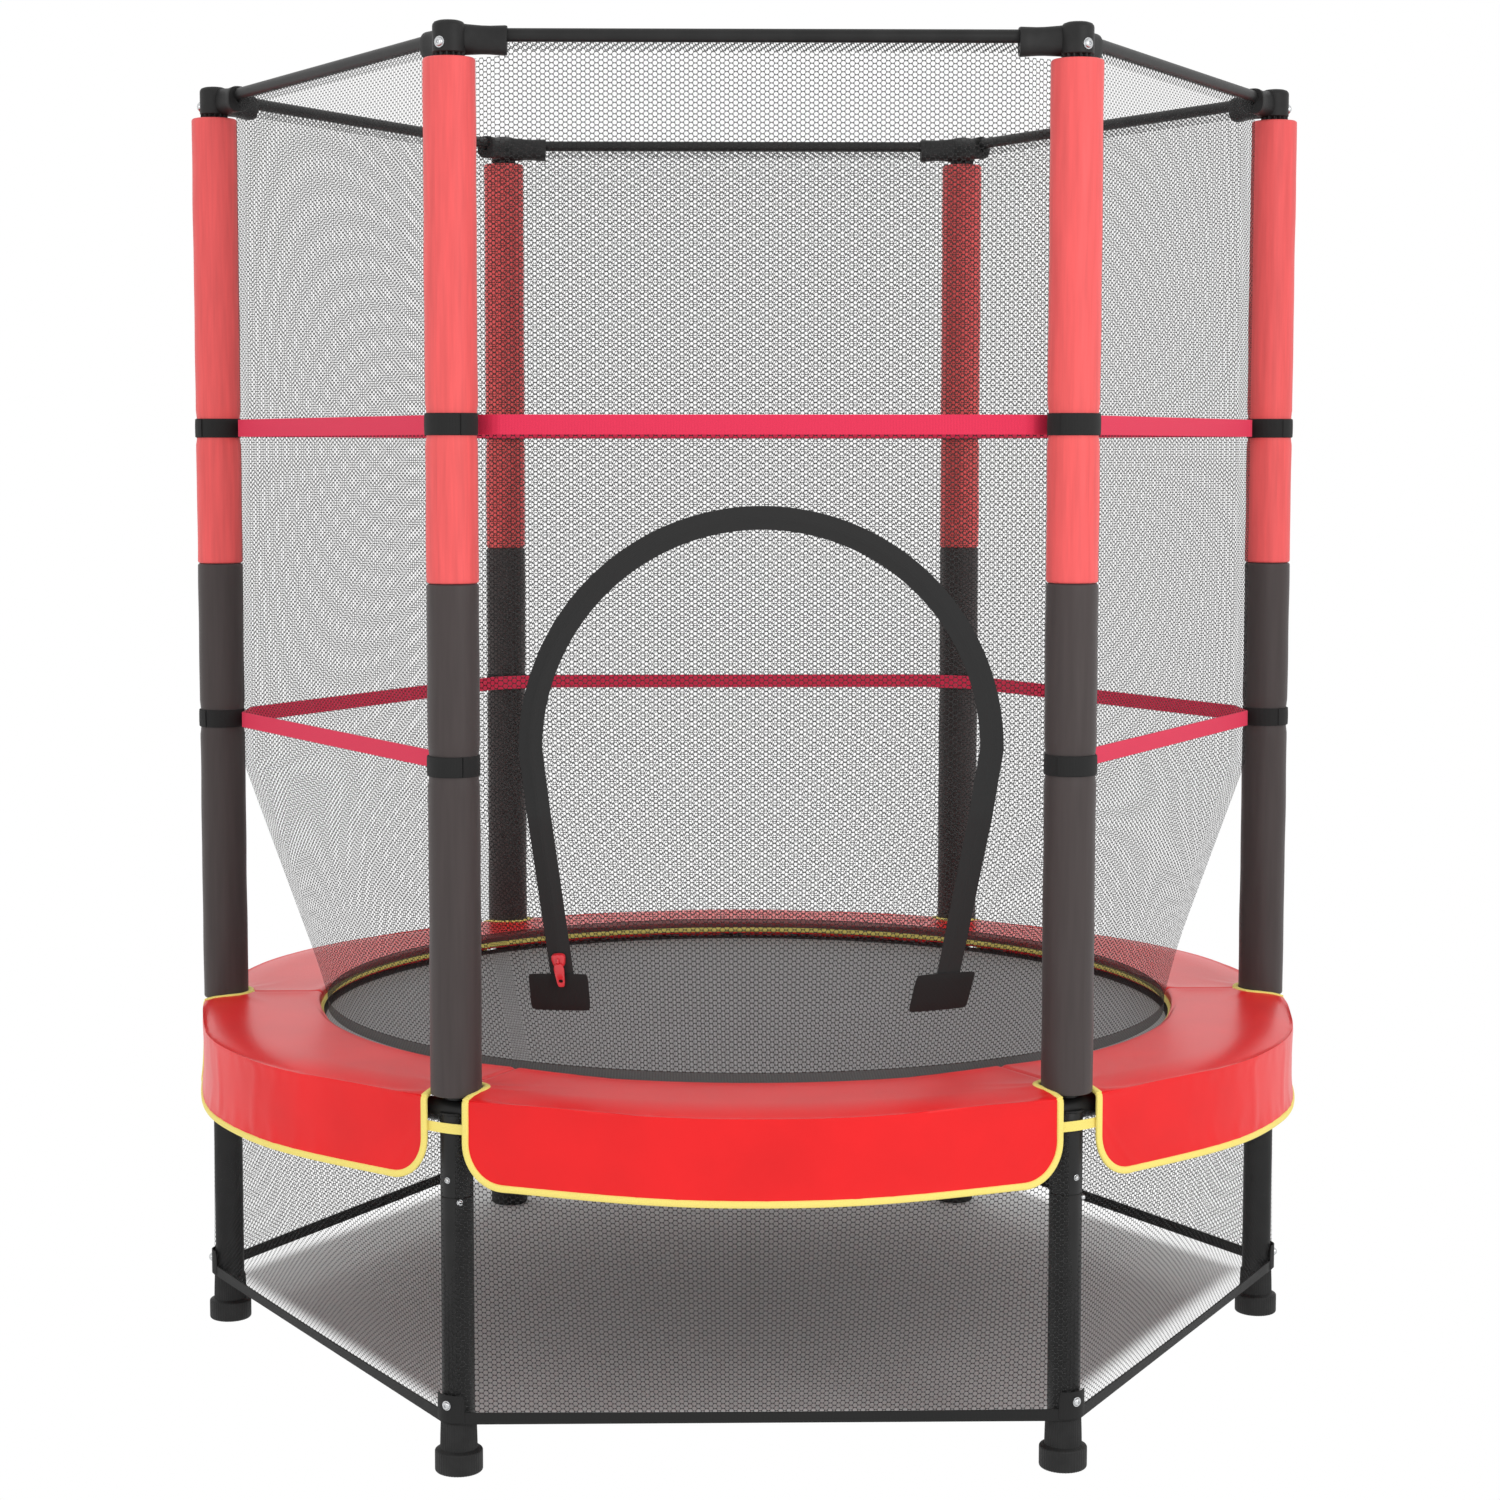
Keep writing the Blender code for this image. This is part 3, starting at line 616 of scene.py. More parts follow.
def sleeve_cover(name, colour):
    """Thin coated cloth over foam: a fine weave, slight upright streaks and a soft bloom."""
    material, shader = coat(
        name, colour, 0.50, Sheen_Weight=0.08, Sheen_Roughness=0.4, Specular_IOR_Level=0.25
    )
    where = place(material, "UV")
    long_way = node(material, "ShaderNodeMapping", {"Vector": where, "Scale": (1.0, 0.06, 1.0)})
    two_tone(material, shader, speckle(material, long_way.outputs["Vector"], 160.0, 2.0), colour, 0.90, 1.06)
    raise_grain(material, shader, woven(material, where, 0.0011), 0.00012, 0.7)
    return material


def red_sleeve(name):
    return sleeve_cover(name, looks().sleeve_red)


def dark_sleeve(name):
    return sleeve_cover(name, looks().sleeve_dark)


def red_pad_vinyl(name):
    """Glossy coated cloth: pebbled grain, and a paler tone where it is stretched."""
    colour = looks().pad_red
    gloss = {"Specular_IOR_Level": 0.20, "Coat_Weight": 0.04, "Coat_Roughness": 0.22, "Sheen_Weight": 0.02}
    material, shader = coat(name, colour, 0.32, **gloss)
    where = place(material, "Object")
    cells = node(material, "ShaderNodeTexVoronoi", {"Vector": where, "Scale": 900.0}).outputs["Distance"]
    two_tone(material, shader, speckle(material, where, 9.0, 4.0), colour, 0.93, 1.05)
    raise_grain(material, shader, cells, 0.00010, 0.6)
    return material


def net_mesh(name):
    """Knitted net. Holes lie in staggered rows, so a point is in a hole if it is near enough to a point
    of either of two rectangular lattices, half a cell apart."""
    look = looks()
    colour = look.thread_grey
    material, shader = coat(name, colour, 0.95, Specular_IOR_Level=0.06)
    where = place(material, "UV")
    across, up = look.hole_pitch_across, look.hole_pitch_up
    distances = []
    for shift in (0.0, 0.5):
        cells = vectors(material, "DIVIDE", where, (across, up, 1.0))
        part = vectors(material, "FRACTION", vectors(material, "ADD", cells, (shift, shift, 0.0)))
        centred = vectors(material, "ADD", part, (-0.5, -0.5, 0.0))
        metric = vectors(material, "MULTIPLY", centred, (across, up, 0.0))
        distances.append(vectors(material, "LENGTH", metric, output="Value"))
    nearest = maths(material, "MINIMUM", *distances)
    near, far = look.hole_radius - HOLE_EDGE / 2, look.hole_radius + HOLE_EDGE / 2
    edge = {"Value": nearest, "From Min": near, "From Max": far}
    join(material, node(material, "ShaderNodeMapRange", edge).outputs["Result"], shader, "Alpha")
    two_tone(material, shader, speckle(material, where, 900.0, 2.0), colour, 0.7, 1.3)
    raise_grain(material, shader, nearest, 0.0006)
    return material


def mat_fabric(name):
    """Tightly woven strip: dark threads with a paler dot where each one comes up."""
    colour = looks().mat_black
    material, shader = coat(name, colour, 0.55, Specular_IOR_Level=0.4)
    where = place(material, "Object")
    weave = woven(material, where, 0.0034)
    two_tone(material, shader, weave, colour, 0.75, 1.9, 0.35, 0.95)
    raise_grain(material, shader, weave, 0.0004)
    return material


def webbing(name, colour, roughness=0.7, pitch=0.0016):
    """Ribbed tape: ribs across its length, with a finer thread along it."""
    material, shader = coat(name, colour, roughness, Specular_IOR_Level=0.2, Sheen_Weight=0.03)
    where = place(material, "UV")
    two_tone(material, shader, speckle(material, where, 1200.0, 2.0), colour, 0.85, 1.12)
    raise_grain(material, shader, ribs(material, where, pitch, "X"), 0.00025, 0.8)
    return material


def black_webbing(name):
    return webbing(name, looks().webbing_black)


def pink_webbing(name):
    return webbing(name, looks().webbing_pink, 0.6)


def yellow_binding(name):
    return webbing(name, looks().binding_yellow, 0.65, 0.0012)


def zip_tape(name):
    return webbing(name, shaded(looks().webbing_black, 1.6), 0.75, 0.0013)


def net_fold(name):
    """The net folded on itself: so close that only a little shows through."""
    colour = looks().thread_grey
    material, shader = coat(name, shaded(colour, 1.5), 0.9, Specular_IOR_Level=0.1, Alpha=0.78)
    where = place(material, "UV")
    two_tone(material, shader, speckle(material, where, 700.0, 2.0), colour, 1.1, 2.0)
    raise_grain(material, shader, woven(material, where, 0.0024), 0.0004, 0.8)
    return material


def elastic_cord(name):
    """Braided cover: two slanted waves that cross."""
    colour = looks().webbing_black
    material, shader = coat(name, colour, 0.7)
    where = place(material, "UV")
    waves = []
    for slant in (0.6, -0.6):
        leaning = node(material, "ShaderNodeMapping", {"Vector": where, "Rotation": (0, 0, slant)})
        waves.append(ribs(material, leaning.outputs["Vector"], 0.0016, "X"))
    braid = maths(material, "MULTIPLY", *waves)
    two_tone(material, shader, braid, colour, 0.6, 1.5)
    raise_grain(material, shader, braid, 0.0003)
    return material


def red_zip_plastic(name):
    """Glossy enamel over a cast slider."""
    colour = looks().zip_red
    material, shader = coat(name, colour, 0.28, Coat_Weight=0.4, Coat_Roughness=0.15)
    raise_grain(material, shader, speckle(material, place(material, "Object"), 500.0), 0.00006)
    return material


def bright_bolt(name):
    """Zinc plate with turning marks."""
    zinc = (0.61, 0.62, 0.63)
    material, shader = coat(name, zinc, 0.26, Metallic=1.0)
    marks = speckle(material, place(material, "Object"), 900.0)
    two_tone(material, shader, marks, zinc, 0.82, 1.18)
    raise_grain(material, shader, marks, 0.00006)
    return material


def floor_with_painted_glow(name):
    """A pale floor, with painted light. Beyond a hexagon the size of the skirt, set back from the light, it
    glows as white as the surroundings though it is no lamp, so only the shadow within shows: the distance is
    the greater of |y| and 0.866|x| + 0.5|y| from the hexagon's middle."""
    material, shader = coat(name, (FLOOR_GREY, FLOOR_GREY, FLOOR_GREY), 0.9, Specular_IOR_Level=0.1)
    from_middle = vectors(material, "ADD", place(material, "Object"), (0.0, -GLOW_HEXAGON_MIDDLE, 0.0))
    size = vectors(material, "ABSOLUTE", from_middle)
    slant = vectors(material, "DOT_PRODUCT", size, (math.sqrt(0.75), 0.5, 0.0), "Value")
    upright = node(material, "ShaderNodeSeparateXYZ", {"Vector": size}).outputs["Y"]
    away = maths(material, "MAXIMUM", slant, upright)
    # Painted light: beyond the hexagon the floor is mixed into a white glow, though it is no lamp
    edge = {"Value": away, "From Min": GLOW_EDGE_FADE[0], "From Max": GLOW_EDGE_FADE[1]}
    fade = node(material, "ShaderNodeMapRange", edge, interpolation_type="SMOOTHSTEP").outputs["Result"]
    glow = node(material, "ShaderNodeEmission", {"Color": WHITE, "Strength": 1.0})
    mix = node(material, "ShaderNodeMixShader", {0: fade, 1: shader.outputs[0], 2: glow.outputs[0]})
    join(material, mix.outputs[0], material.node_tree.nodes["Material Output"], "Surface")
    return material


# --- Settings ------------------------------------------------------------------------------------


def colour_setting(name, description, default):
    return FloatVectorProperty(
        name=name, description=description, subtype="COLOR", size=3, min=0.0, max=1.0, default=default
    )


def length_setting(name, description, default):
    return FloatProperty(
        name=name, description=description, unit="LENGTH", min=0.0, precision=5, default=default
    )


class TrampolineLooks(bpy.types.PropertyGroup):
    """Colours of the coverings and sizes of the net's holes and the pad's swell."""

    pad_red: colour_setting("Pad red", "Vinyl of the frame pad", (0.74, 0.011, 0.013))
    sleeve_red: colour_setting("Sleeve red", "Cover of the upper foam sleeves", (0.75, 0.098, 0.098))
    sleeve_dark: colour_setting("Sleeve grey", "Cover of the lower foam sleeves", (0.052, 0.041, 0.040))
    steel_black: colour_setting("Steel black", "Powder coat of the steel tubes", (0.012, 0.012, 0.012))
    plastic_black: colour_setting("Plastic black", "Pole caps and foot caps", (0.016, 0.016, 0.016))
    webbing_black: colour_setting("Webbing black", "Straps, hems and zip tape", (0.014, 0.014, 0.014))
    webbing_pink: colour_setting("Webbing pink", "Bands round the safety net", (0.68, 0.026, 0.078))
    binding_yellow: colour_setting("Binding yellow", "Edges of the pad", (0.88, 0.73, 0.19))
    mat_black: colour_setting("Mat black", "The jumping mat", (0.256, 0.251, 0.251))
    thread_grey: colour_setting("Thread grey", "Thread of both nets", (0.03, 0.03, 0.03))
    zip_red: colour_setting("Zip red", "Zip slider and pull", (0.62, 0.022, 0.032))
    hole_pitch_across: length_setting("Hole pitch across", "Width of a two-row cell of the net", 0.0095)
    hole_pitch_up: length_setting("Hole pitch up", "Height of a cell of the net", 0.0059)
    hole_radius: length_setting("Hole radius", "Radius of each hole of the net", 0.00255)
    pad_swell: length_setting("Pad swell", "The most that the pad's cover rises between its seams", 0.0030)


# --- The operators -------------------------------------------------------------------------------


class TRAMPOLINE_OT_ring(bpy.types.Operator):
    """Six bent tubes of the ring, each with its leg socket and the weld between them"""

    bl_idname = "trampoline.ring"
    bl_label = "Ring and sockets"

    def execute(self, context):
        angle = np.radians(np.linspace(-29.93, 29.93, 49))
        path = polar(POLE_CIRCLE, angle, RING_HEIGHT)
        inset = np.full(len(angle), TUBE_RADIUS)
        inset[[0, -1]] -= 0.0006
        socket = [(0.0, SOCKET_BORE_TOP), (SOCKET_BORE, SOCKET_BORE_TOP)]
        socket += [(SOCKET_BORE, SOCKET_BOTTOM + 0.0004), (SOCKET_BORE + 0.0005, SOCKET_BOTTOM)]
        socket += [(SOCKET_RADIUS - 0.0004, SOCKET_BOTTOM)]
        socket += [(SOCKET_RADIUS, SOCKET_BOTTOM + 0.0006), (SOCKET_RADIUS, RING_HEIGHT - 0.0030)]
        socket += [(SOCKET_RADIUS - 0.0012, RING_HEIGHT - 0.0010), (0.0, RING_HEIGHT - 0.0010)]
        around = np.linspace(0.0, FULL, 72, endpoint=False)
        across = SOCKET_RADIUS * np.cos(around)
        bead_height = RING_HEIGHT - np.sqrt(np.clip(TUBE_RADIUS**2 - across**2, 1e-7, None)) - 0.0004
        bead_height = np.maximum(bead_height, RING_HEIGHT - TUBE_RADIUS)
        lumps = 0.0013 + 0.00025 * np.cos(19 * around)
        bead = xyz(POLE_CIRCLE + across, SOCKET_RADIUS * np.sin(around), bead_height)
        weld = tube(bead, lumps, sides=8, up=(1.0, 0.0, 0.2), closed=True)
        six("ring_rail", [tube(path, inset, sides=28), turned(socket), weld], black_steel, "frame_rail")
        return {"FINISHED"}


class TRAMPOLINE_OT_legs(bpy.types.Operator):
    """Six leg tubes with a reduced neck, and the two bolts through each socket joint"""

    bl_idname = "trampoline.legs"
    bl_label = "Legs"

    def execute(self, context):
        shoulder = SOCKET_BOTTOM - 0.0003
        profile = [(0.0, LEG_BOTTOM), (LEG_RADIUS, LEG_BOTTOM), (LEG_RADIUS, shoulder - 0.0007)]
        profile += [(LEG_RADIUS - 0.0006, shoulder), (LEG_NECK_RADIUS, shoulder)]
        profile += [(LEG_NECK_RADIUS, LEG_NECK_TOP), (0.0, LEG_NECK_TOP)]
        six("leg_tube", [turned(profile, 56)], black_steel, "leg")
        bolts = []
        for height, bearing in ((SOCKET_BOTTOM + 0.019, 0.0), (SOCKET_BOTTOM - 0.005, 0.75)):
            way = heading(bearing)
            bolts.append(bolt_head(way * (LEG_RADIUS + 0.0001) + (POLE_CIRCLE, 0.0, height), way, 0.0027))
        six("joint_bolts", bolts, bright_bolt)
        return {"FINISHED"}


class TRAMPOLINE_OT_feet(bpy.types.Operator):
    """Six ribbed foot cups with a wide base and a slimmer collar"""

    bl_idname = "trampoline.feet"
    bl_label = "Foot caps"

    def execute(self, context):
        base_top = 0.0250
        profile = [(0.0, 0.0), (FOOT_RADIUS * 0.70, 0.0), (FOOT_RADIUS * 0.74, 0.0006)]
        profile += arc((FOOT_RADIUS - 0.003, 0.003), 0.003, -80, 0, 6)
        profile += [(FOOT_RADIUS, 0.012), (FOOT_RADIUS, base_top - 0.003)]
        profile += arc((FOOT_RADIUS - 0.0025, base_top - 0.0025), 0.0025, 0, 70, 5)
        profile += [(0.0212, base_top + 0.0016), (0.0206, base_top + 0.0040), (0.0203, 0.042)]
        profile += [(0.0198, FOOT_TOP - 0.002), (0.0193, FOOT_TOP), (0.0184, FOOT_TOP)]
        profile += [(0.0182, FOOT_TOP - 0.004), (0.0, FOOT_TOP - 0.004)]
        six("foot_cup", [turned(profile, 192, ribs=(48, 0.0005))], black_plastic, "foot_cap")
        return {"FINISHED"}


class TRAMPOLINE_OT_poles(bpy.types.Operator):
    """Six upright pole tubes"""

    bl_idname = "trampoline.poles"
    bl_label = "Poles"

    def execute(self, context):
        profile = [(0.0, POLE_FOOT), (TUBE_RADIUS - 0.0005, POLE_FOOT), (TUBE_RADIUS, POLE_FOOT + 0.0006)]
        profile += [(TUBE_RADIUS, POLE_TOP - 0.0006), (TUBE_RADIUS - 0.0005, POLE_TOP), (0.0, POLE_TOP)]
        six("pole_tube", [turned(profile, 32)], black_steel, "pole")
        return {"FINISHED"}


class TRAMPOLINE_OT_sleeves(bpy.types.Operator):
    """Foam sleeves on each pole, grey below and red above, drawn in where the straps hold them"""

    bl_idname = "trampoline.sleeves"
    bl_label = "Foam sleeves"

    def sleeve(self, bottom, top):
        """A tube with rounded ends. Its radius dips at the straps and at the cover's seam, and swells and
        falls a little along it as the sum of three slow waves."""
        round_end = 0.0030
        foot = arc((FOAM_RADIUS - round_end, bottom + round_end), round_end, -90, 0, 7)
        head = arc((FOAM_RADIUS - round_end, top - round_end), round_end, 0, 90, 7)
        steps = int((top - bottom - 2 * round_end) / 0.006)
        rise = np.linspace(bottom + round_end, top - round_end, steps)[1:-1]
        outside = foot + [(FOAM_RADIUS, height) for height in rise] + head
        profile = [(FOAM_BORE, top - 0.004), (FOAM_BORE, bottom + 0.004), (FOAM_BORE + 0.001, bottom)]
        profile += outside + [(FOAM_BORE + 0.001, top), (FOAM_BORE, top - 0.004)]
        points, uv = turned(profile, 72, (0.0, 0.0))
        angle = np.arctan2(points[..., 1], points[..., 0])
        radius, height = np.hypot(points[..., 0], points[..., 1]), points[..., 2]
        skin = smooth((radius - FOAM_BORE - 0.004) / 0.006)
        waves = np.sin(41 * height + 2 * angle) + np.sin(67 * height - angle + 1.0)
        dip = -0.00012 * (waves + np.sin(23 * height + 3 * angle))
        seam = np.abs((angle + FULL) % FULL - math.pi) * radius
        dip = dip + 0.0007 * np.exp(-((seam / 0.0012) ** 2))
        for low, high in STRAPS:
            near = np.clip(np.abs(height - (low + high) / 2) - (high - low) / 2, 0.0, None)
            dip = dip + 0.0014 * np.exp(-((near / 0.006) ** 2))
        scale = 1 - skin * dip / np.maximum(radius, 1e-6)
        return xyz(points[..., 0] * scale + POLE_CIRCLE, points[..., 1] * scale, height), uv

    def execute(self, context):
        lower = [self.sleeve(FOAM_BOTTOM, FOAM_JOINT - 0.0003)]
        upper = [self.sleeve(FOAM_JOINT, FOAM_TOP)]
        made = six("grey_sleeve", lower, dark_sleeve, "foam_sleeve_lower")
        made += six("red_sleeve", upper, red_sleeve, "foam_sleeve_upper")
        return {"FINISHED"}


class TRAMPOLINE_OT_straps(bpy.types.Operator):
    """Black straps that tie the net to each sleeve, with the end of each lapped over itself"""

    bl_idname = "trampoline.straps"
    bl_label = "Pole straps"

    def band(self, low, high, inside, outside, start, end):
        """A strap on a cylinder between two angles, one row for each height."""
        angle = np.linspace(start, end, max(8, int(abs(end - start) / 0.09)))
        rows = np.linspace(low, high, 5)[:, None]
        rounding = 0.0003 * np.abs(np.linspace(-1, 1, 5)[:, None]) ** 3
        layers = [polar(radius - rounding, angle, rows) for radius in (outside, inside)]
        return slab(*[layer + (POLE_CIRCLE, 0.0, 0.0) for layer in layers])

    def execute(self, context):
        grids = []
        hold = FOAM_RADIUS - 0.0012
        for low, high in STRAPS:
            grids += self.band(low, high, hold, FOAM_RADIUS + 0.0003, 0.9, 0.9 + FULL)
            grids += self.band(low + 0.0006, high - 0.0006, FOAM_RADIUS, FOAM_RADIUS + 0.0012, -1.15, 0.9)
            rows = np.linspace(low + 0.003, high - 0.003, 3)[:, None]
            reach = np.linspace(NET_CORNER + 0.0016, POLE_CIRCLE - FOAM_RADIUS + 0.001, 4)
            grids += slab(*[xyz(reach, side, rows) for side in (0.0035, -0.0035)])
        six("pole_straps", grids, black_webbing)
        return {"FINISHED"}


class TRAMPOLINE_OT_caps(bpy.types.Operator):
    """Moulded pole caps with two flared arms for the rods, and their bolts"""

    bl_idname = "trampoline.caps"
    bl_label = "Pole caps"

    def arm(self, sign):
        """A rounded-square section carried out from the cap, waisted near it and flared at the rod."""
        along = heading(sign * math.radians(120))
        corner = np.array([ROD_APOTHEM / math.cos(SECTOR / 2), 0.0, ARM_HEIGHT])
        share = np.array([0.0, 0.12, 0.25, 0.38, 0.52, 0.68, 0.84, 0.97, 1.0])
        path = corner + along * (ARM_END * share)[:, None]
        path[:, 2] += np.interp(share, [0.0, 0.5, 1.0], [0.0012, 0.0006, 0.0])
        stations = [0.0, 0.25, 0.60, 0.97, 1.0]
        tall = np.interp(share, stations, [0.0172, 0.0158, 0.0146, 0.0156, 0.0150])
        broad = np.interp(share, stations, [0.0165, 0.0132, 0.0122, 0.0140, 0.0134])
        outside, _ = tube(path, tall, broad, sides=40, power=2.7)
        side = np.cross(along, (0.0, 0.0, 1.0))
        angle = np.linspace(0.0, FULL, 41)
        mouth = path[-1] + np.array([0.0, 0.0, ROD_HEIGHT - ARM_HEIGHT])
        ring = mouth + ROD_BORE * (np.cos(angle)[:, None] * (0.0, 0.0, 1.0) - np.sin(angle)[:, None] * side)
        end = np.repeat((mouth - along * 0.012)[None], 41, axis=0)
        return grid(np.concatenate([outside[:-1], [ring, ring - along * 0.012, end]]))

    def execute(self, context):
        ceiling = POLE_TOP + 0.0006
        brim = CAP_BOTTOM + 0.0034
        profile = [(0.0, ceiling), (TUBE_RADIUS + 0.0004, ceiling), (TUBE_RADIUS + 0.0004, brim)]
        profile += [(CAP_RADIUS - 0.0012, brim), (CAP_RADIUS, brim + 0.0012)]
        profile += [(CAP_RADIUS, CAP_TOP - 0.0065), (CAP_RADIUS - 0.0004, CAP_TOP - 0.0046)]
        profile += [(CAP_RADIUS - 0.0022, CAP_TOP - 0.0022), (CAP_RADIUS - 0.0060, CAP_TOP - 0.0008)]
        profile += [(CAP_RADIUS - 0.0110, CAP_TOP - 0.0001), (0.0, CAP_TOP)]
        crown = [(0.0, FOAM_TOP + 0.0002), (CAP_RADIUS - 0.0006, FOAM_TOP + 0.0002)]
        crown += [(CAP_RADIUS - 0.0006, brim + 0.001), (0.0, brim + 0.001)]
        grids = [turned(profile, 56), turned(crown, 168, ribs=(14, 0.0046)), self.arm(-1), self.arm(1)]
        six("pole_top", grids, black_plastic, "pole_cap")
        bolt = bolt_head((POLE_CIRCLE + CAP_RADIUS, 0.0, 1.5405), (1.0, 0.0, 0.0), 0.0048)
        six("cap_bolt", [bolt], bright_bolt)
        return {"FINISHED"}


class TRAMPOLINE_OT_rods(bpy.types.Operator):
    """Six straight rods between the caps"""

    bl_idname = "trampoline.rods"
    bl_label = "Top rods"

    def execute(self, context):
        reach = np.linspace(-ROD_HALF_LENGTH, ROD_HALF_LENGTH, 9)[:, None]
        path = ROD_APOTHEM * heading(SECTOR / 2) + reach * heading(SECTOR / 2 + math.pi / 2)
        path[:, 2] = ROD_HEIGHT
        six("top_rod", [tube(path, ROD_RADIUS, sides=24)], black_steel, "top_rail", SIDES)
        return {"FINISHED"}


class TRAMPOLINE_OT_safety_net(bpy.types.Operator):
    """The net round the poles with its doorway, the hem at the rods, the hem at its foot and the bands"""

    bl_idname = "trampoline.safety_net"
    bl_label = "Safety net"

    def head(self, angle):
        """How high the net reaches: up to the rods, and a little less beside the caps' arms."""
        from_side = np.abs(angle % SECTOR - SECTOR / 2)
        run = NET_SIDE * np.tan(np.minimum(from_side, SECTOR / 2))
        arm_end = NET_SIDE * math.tan(SECTOR / 2) - ARM_END
        return NET_TOP + 0.0065 + 0.0150 * smooth((arm_end + 0.004 - run) / 0.008)

    def lifted(self, height, angle):
        """Heights stretched near the top so that the last row lies at the head."""
        start = NET_TOP - 0.10
        share = np.clip((height - start) / (NET_TOP - start), 0.0, 1.0)
        return height + share * (self.head(angle) - NET_TOP)

    def cloth(self, angle, height, out=0.0, shift=(0.0, 0.0)):
        """A part of the net, with the distances that its holes are spaced by."""
        run = np.stack(np.broadcast_arrays(net_run(angle) + shift[0], height + shift[1]), axis=-1)
        return on_net(angle, height, out), run

    def net(self):
        """Five sides on a grid of angle and height, and the front side on a grid that runs from the
        doorway's edge out to the side's own edge."""
        tapered, upright = np.linspace(NET_BOTTOM, NET_WAIST, 16), np.linspace(NET_WAIST, NET_TOP, 44)
        heights = np.concatenate([tapered, upright[1:]])
        right, left = FRONT + SECTOR / 2 - CUT_ANGLE, FRONT - SECTOR / 2 + CUT_ANGLE + FULL
        stops = [right]
        for corner in range(5):
            stops += [right + 2 * CUT_ANGLE + corner * SECTOR, right + (corner + 1) * SECTOR]
        stops[-1] = left - 2 * CUT_ANGLE
        stops.append(left)
        parts = []
        for index, (start, end) in enumerate(zip(stops, stops[1:])):
            parts.append(np.linspace(start, end, 7 if index % 2 == 0 else 41)[:-1])
        angle = np.concatenate([*parts, [left]])
        rows = self.lifted(heights[:, None], angle)
        rest = self.cloth(angle, rows)
        sweep = np.linspace(left - FULL, right, 41)
        up_left = np.stack(np.broadcast_arrays(left - FULL, self.lifted(heights, left)), axis=-1)
        over = np.stack([sweep, self.lifted(np.full(41, NET_TOP), sweep)], axis=-1)
        down_right = np.stack(np.broadcast_arrays(right, self.lifted(heights, right)), axis=-1)[::-1]
        under = np.stack([sweep[::-1], np.full(41, NET_BOTTOM)], axis=-1)
        edge = np.concatenate([up_left[:-1], over[:-1], down_right[:-1], under])
        x = net_radius(*edge.T) * np.cos(edge[:, 0])
        z = edge[:, 1]
        bearing = np.arctan2(z - DOOR_SPRING, x - DOOR_X)
        reach = door_reach(bearing, -0.0002)
        share = (np.linspace(0.0, 1.0, 25) ** 1.15)[:, None]
        grid_x = (DOOR_X + reach * np.cos(bearing)) * (1 - share) + x * share
        grid_z = (DOOR_SPRING + reach * np.sin(bearing)) * (1 - share) + z * share
        return [rest, self.cloth(front_angle(grid_x, grid_z), grid_z)]

    def hem(self):
        """A second layer of net just under the rods, which doubles it."""
        grids = []
        arm_end = NET_SIDE * math.tan(SECTOR / 2) - ARM_END
        for side in range(6):
            run = np.linspace(-arm_end, arm_end, 30)
            angle = SECTOR / 2 + side * SECTOR + np.arctan(run / NET_SIDE)
            head = NET_TOP + 0.0213
            rows = np.linspace(head - ROD_HEM_DEPTH, head, 4)[:, None]
            grids.append(self.cloth(angle, rows, 0.0012, (0.003, 0.0015)))
        return grids

    def foot_hem(self):
        """The net's lower edge, where it is folded."""
        return [self.cloth(np.linspace(0.0, FULL, 289), np.linspace(*NET_HEM, 4)[:, None], 0.0008)]

    def band(self, low, high, start, end, out=-0.0006, thickness=0.0030):
        """A flat tape on the outside of the net, between two angles."""
        steps = int((end - start) / SECTOR * 48) + 1
        angle = np.linspace(start, end, steps)
        corner = np.round(angle / SECTOR) * SECTOR
        bends = np.concatenate([corner - CUT_ANGLE, corner + CUT_ANGLE])
        bends = bends[(bends > start) & (bends < end)]
        angle = np.unique(np.round(np.concatenate([angle, bends]), 7))
        rows = np.linspace(low, high, 5)[:, None]
        return slab(on_net(angle, rows, out + thickness), on_net(angle, rows, out))

    def execute(self, context):
        net = piece("safety_net", self.net(), net_mesh, ("enclosure_net",), closed=False)
        hem = piece("net_hem_at_rods", self.hem(), net_mesh, closed=False)
        low_hem = piece("net_hem_at_pad", self.foot_hem(), net_fold, closed=False)
        piece("upper_band", self.band(*UPPER_BAND, 0.0, FULL), pink_webbing)
        start, end = FRONT + SECTOR / 2, FRONT - SECTOR / 2 + FULL
        piece("lower_band", self.band(*LOWER_BAND, start, end), pink_webbing)
        return {"FINISHED"}


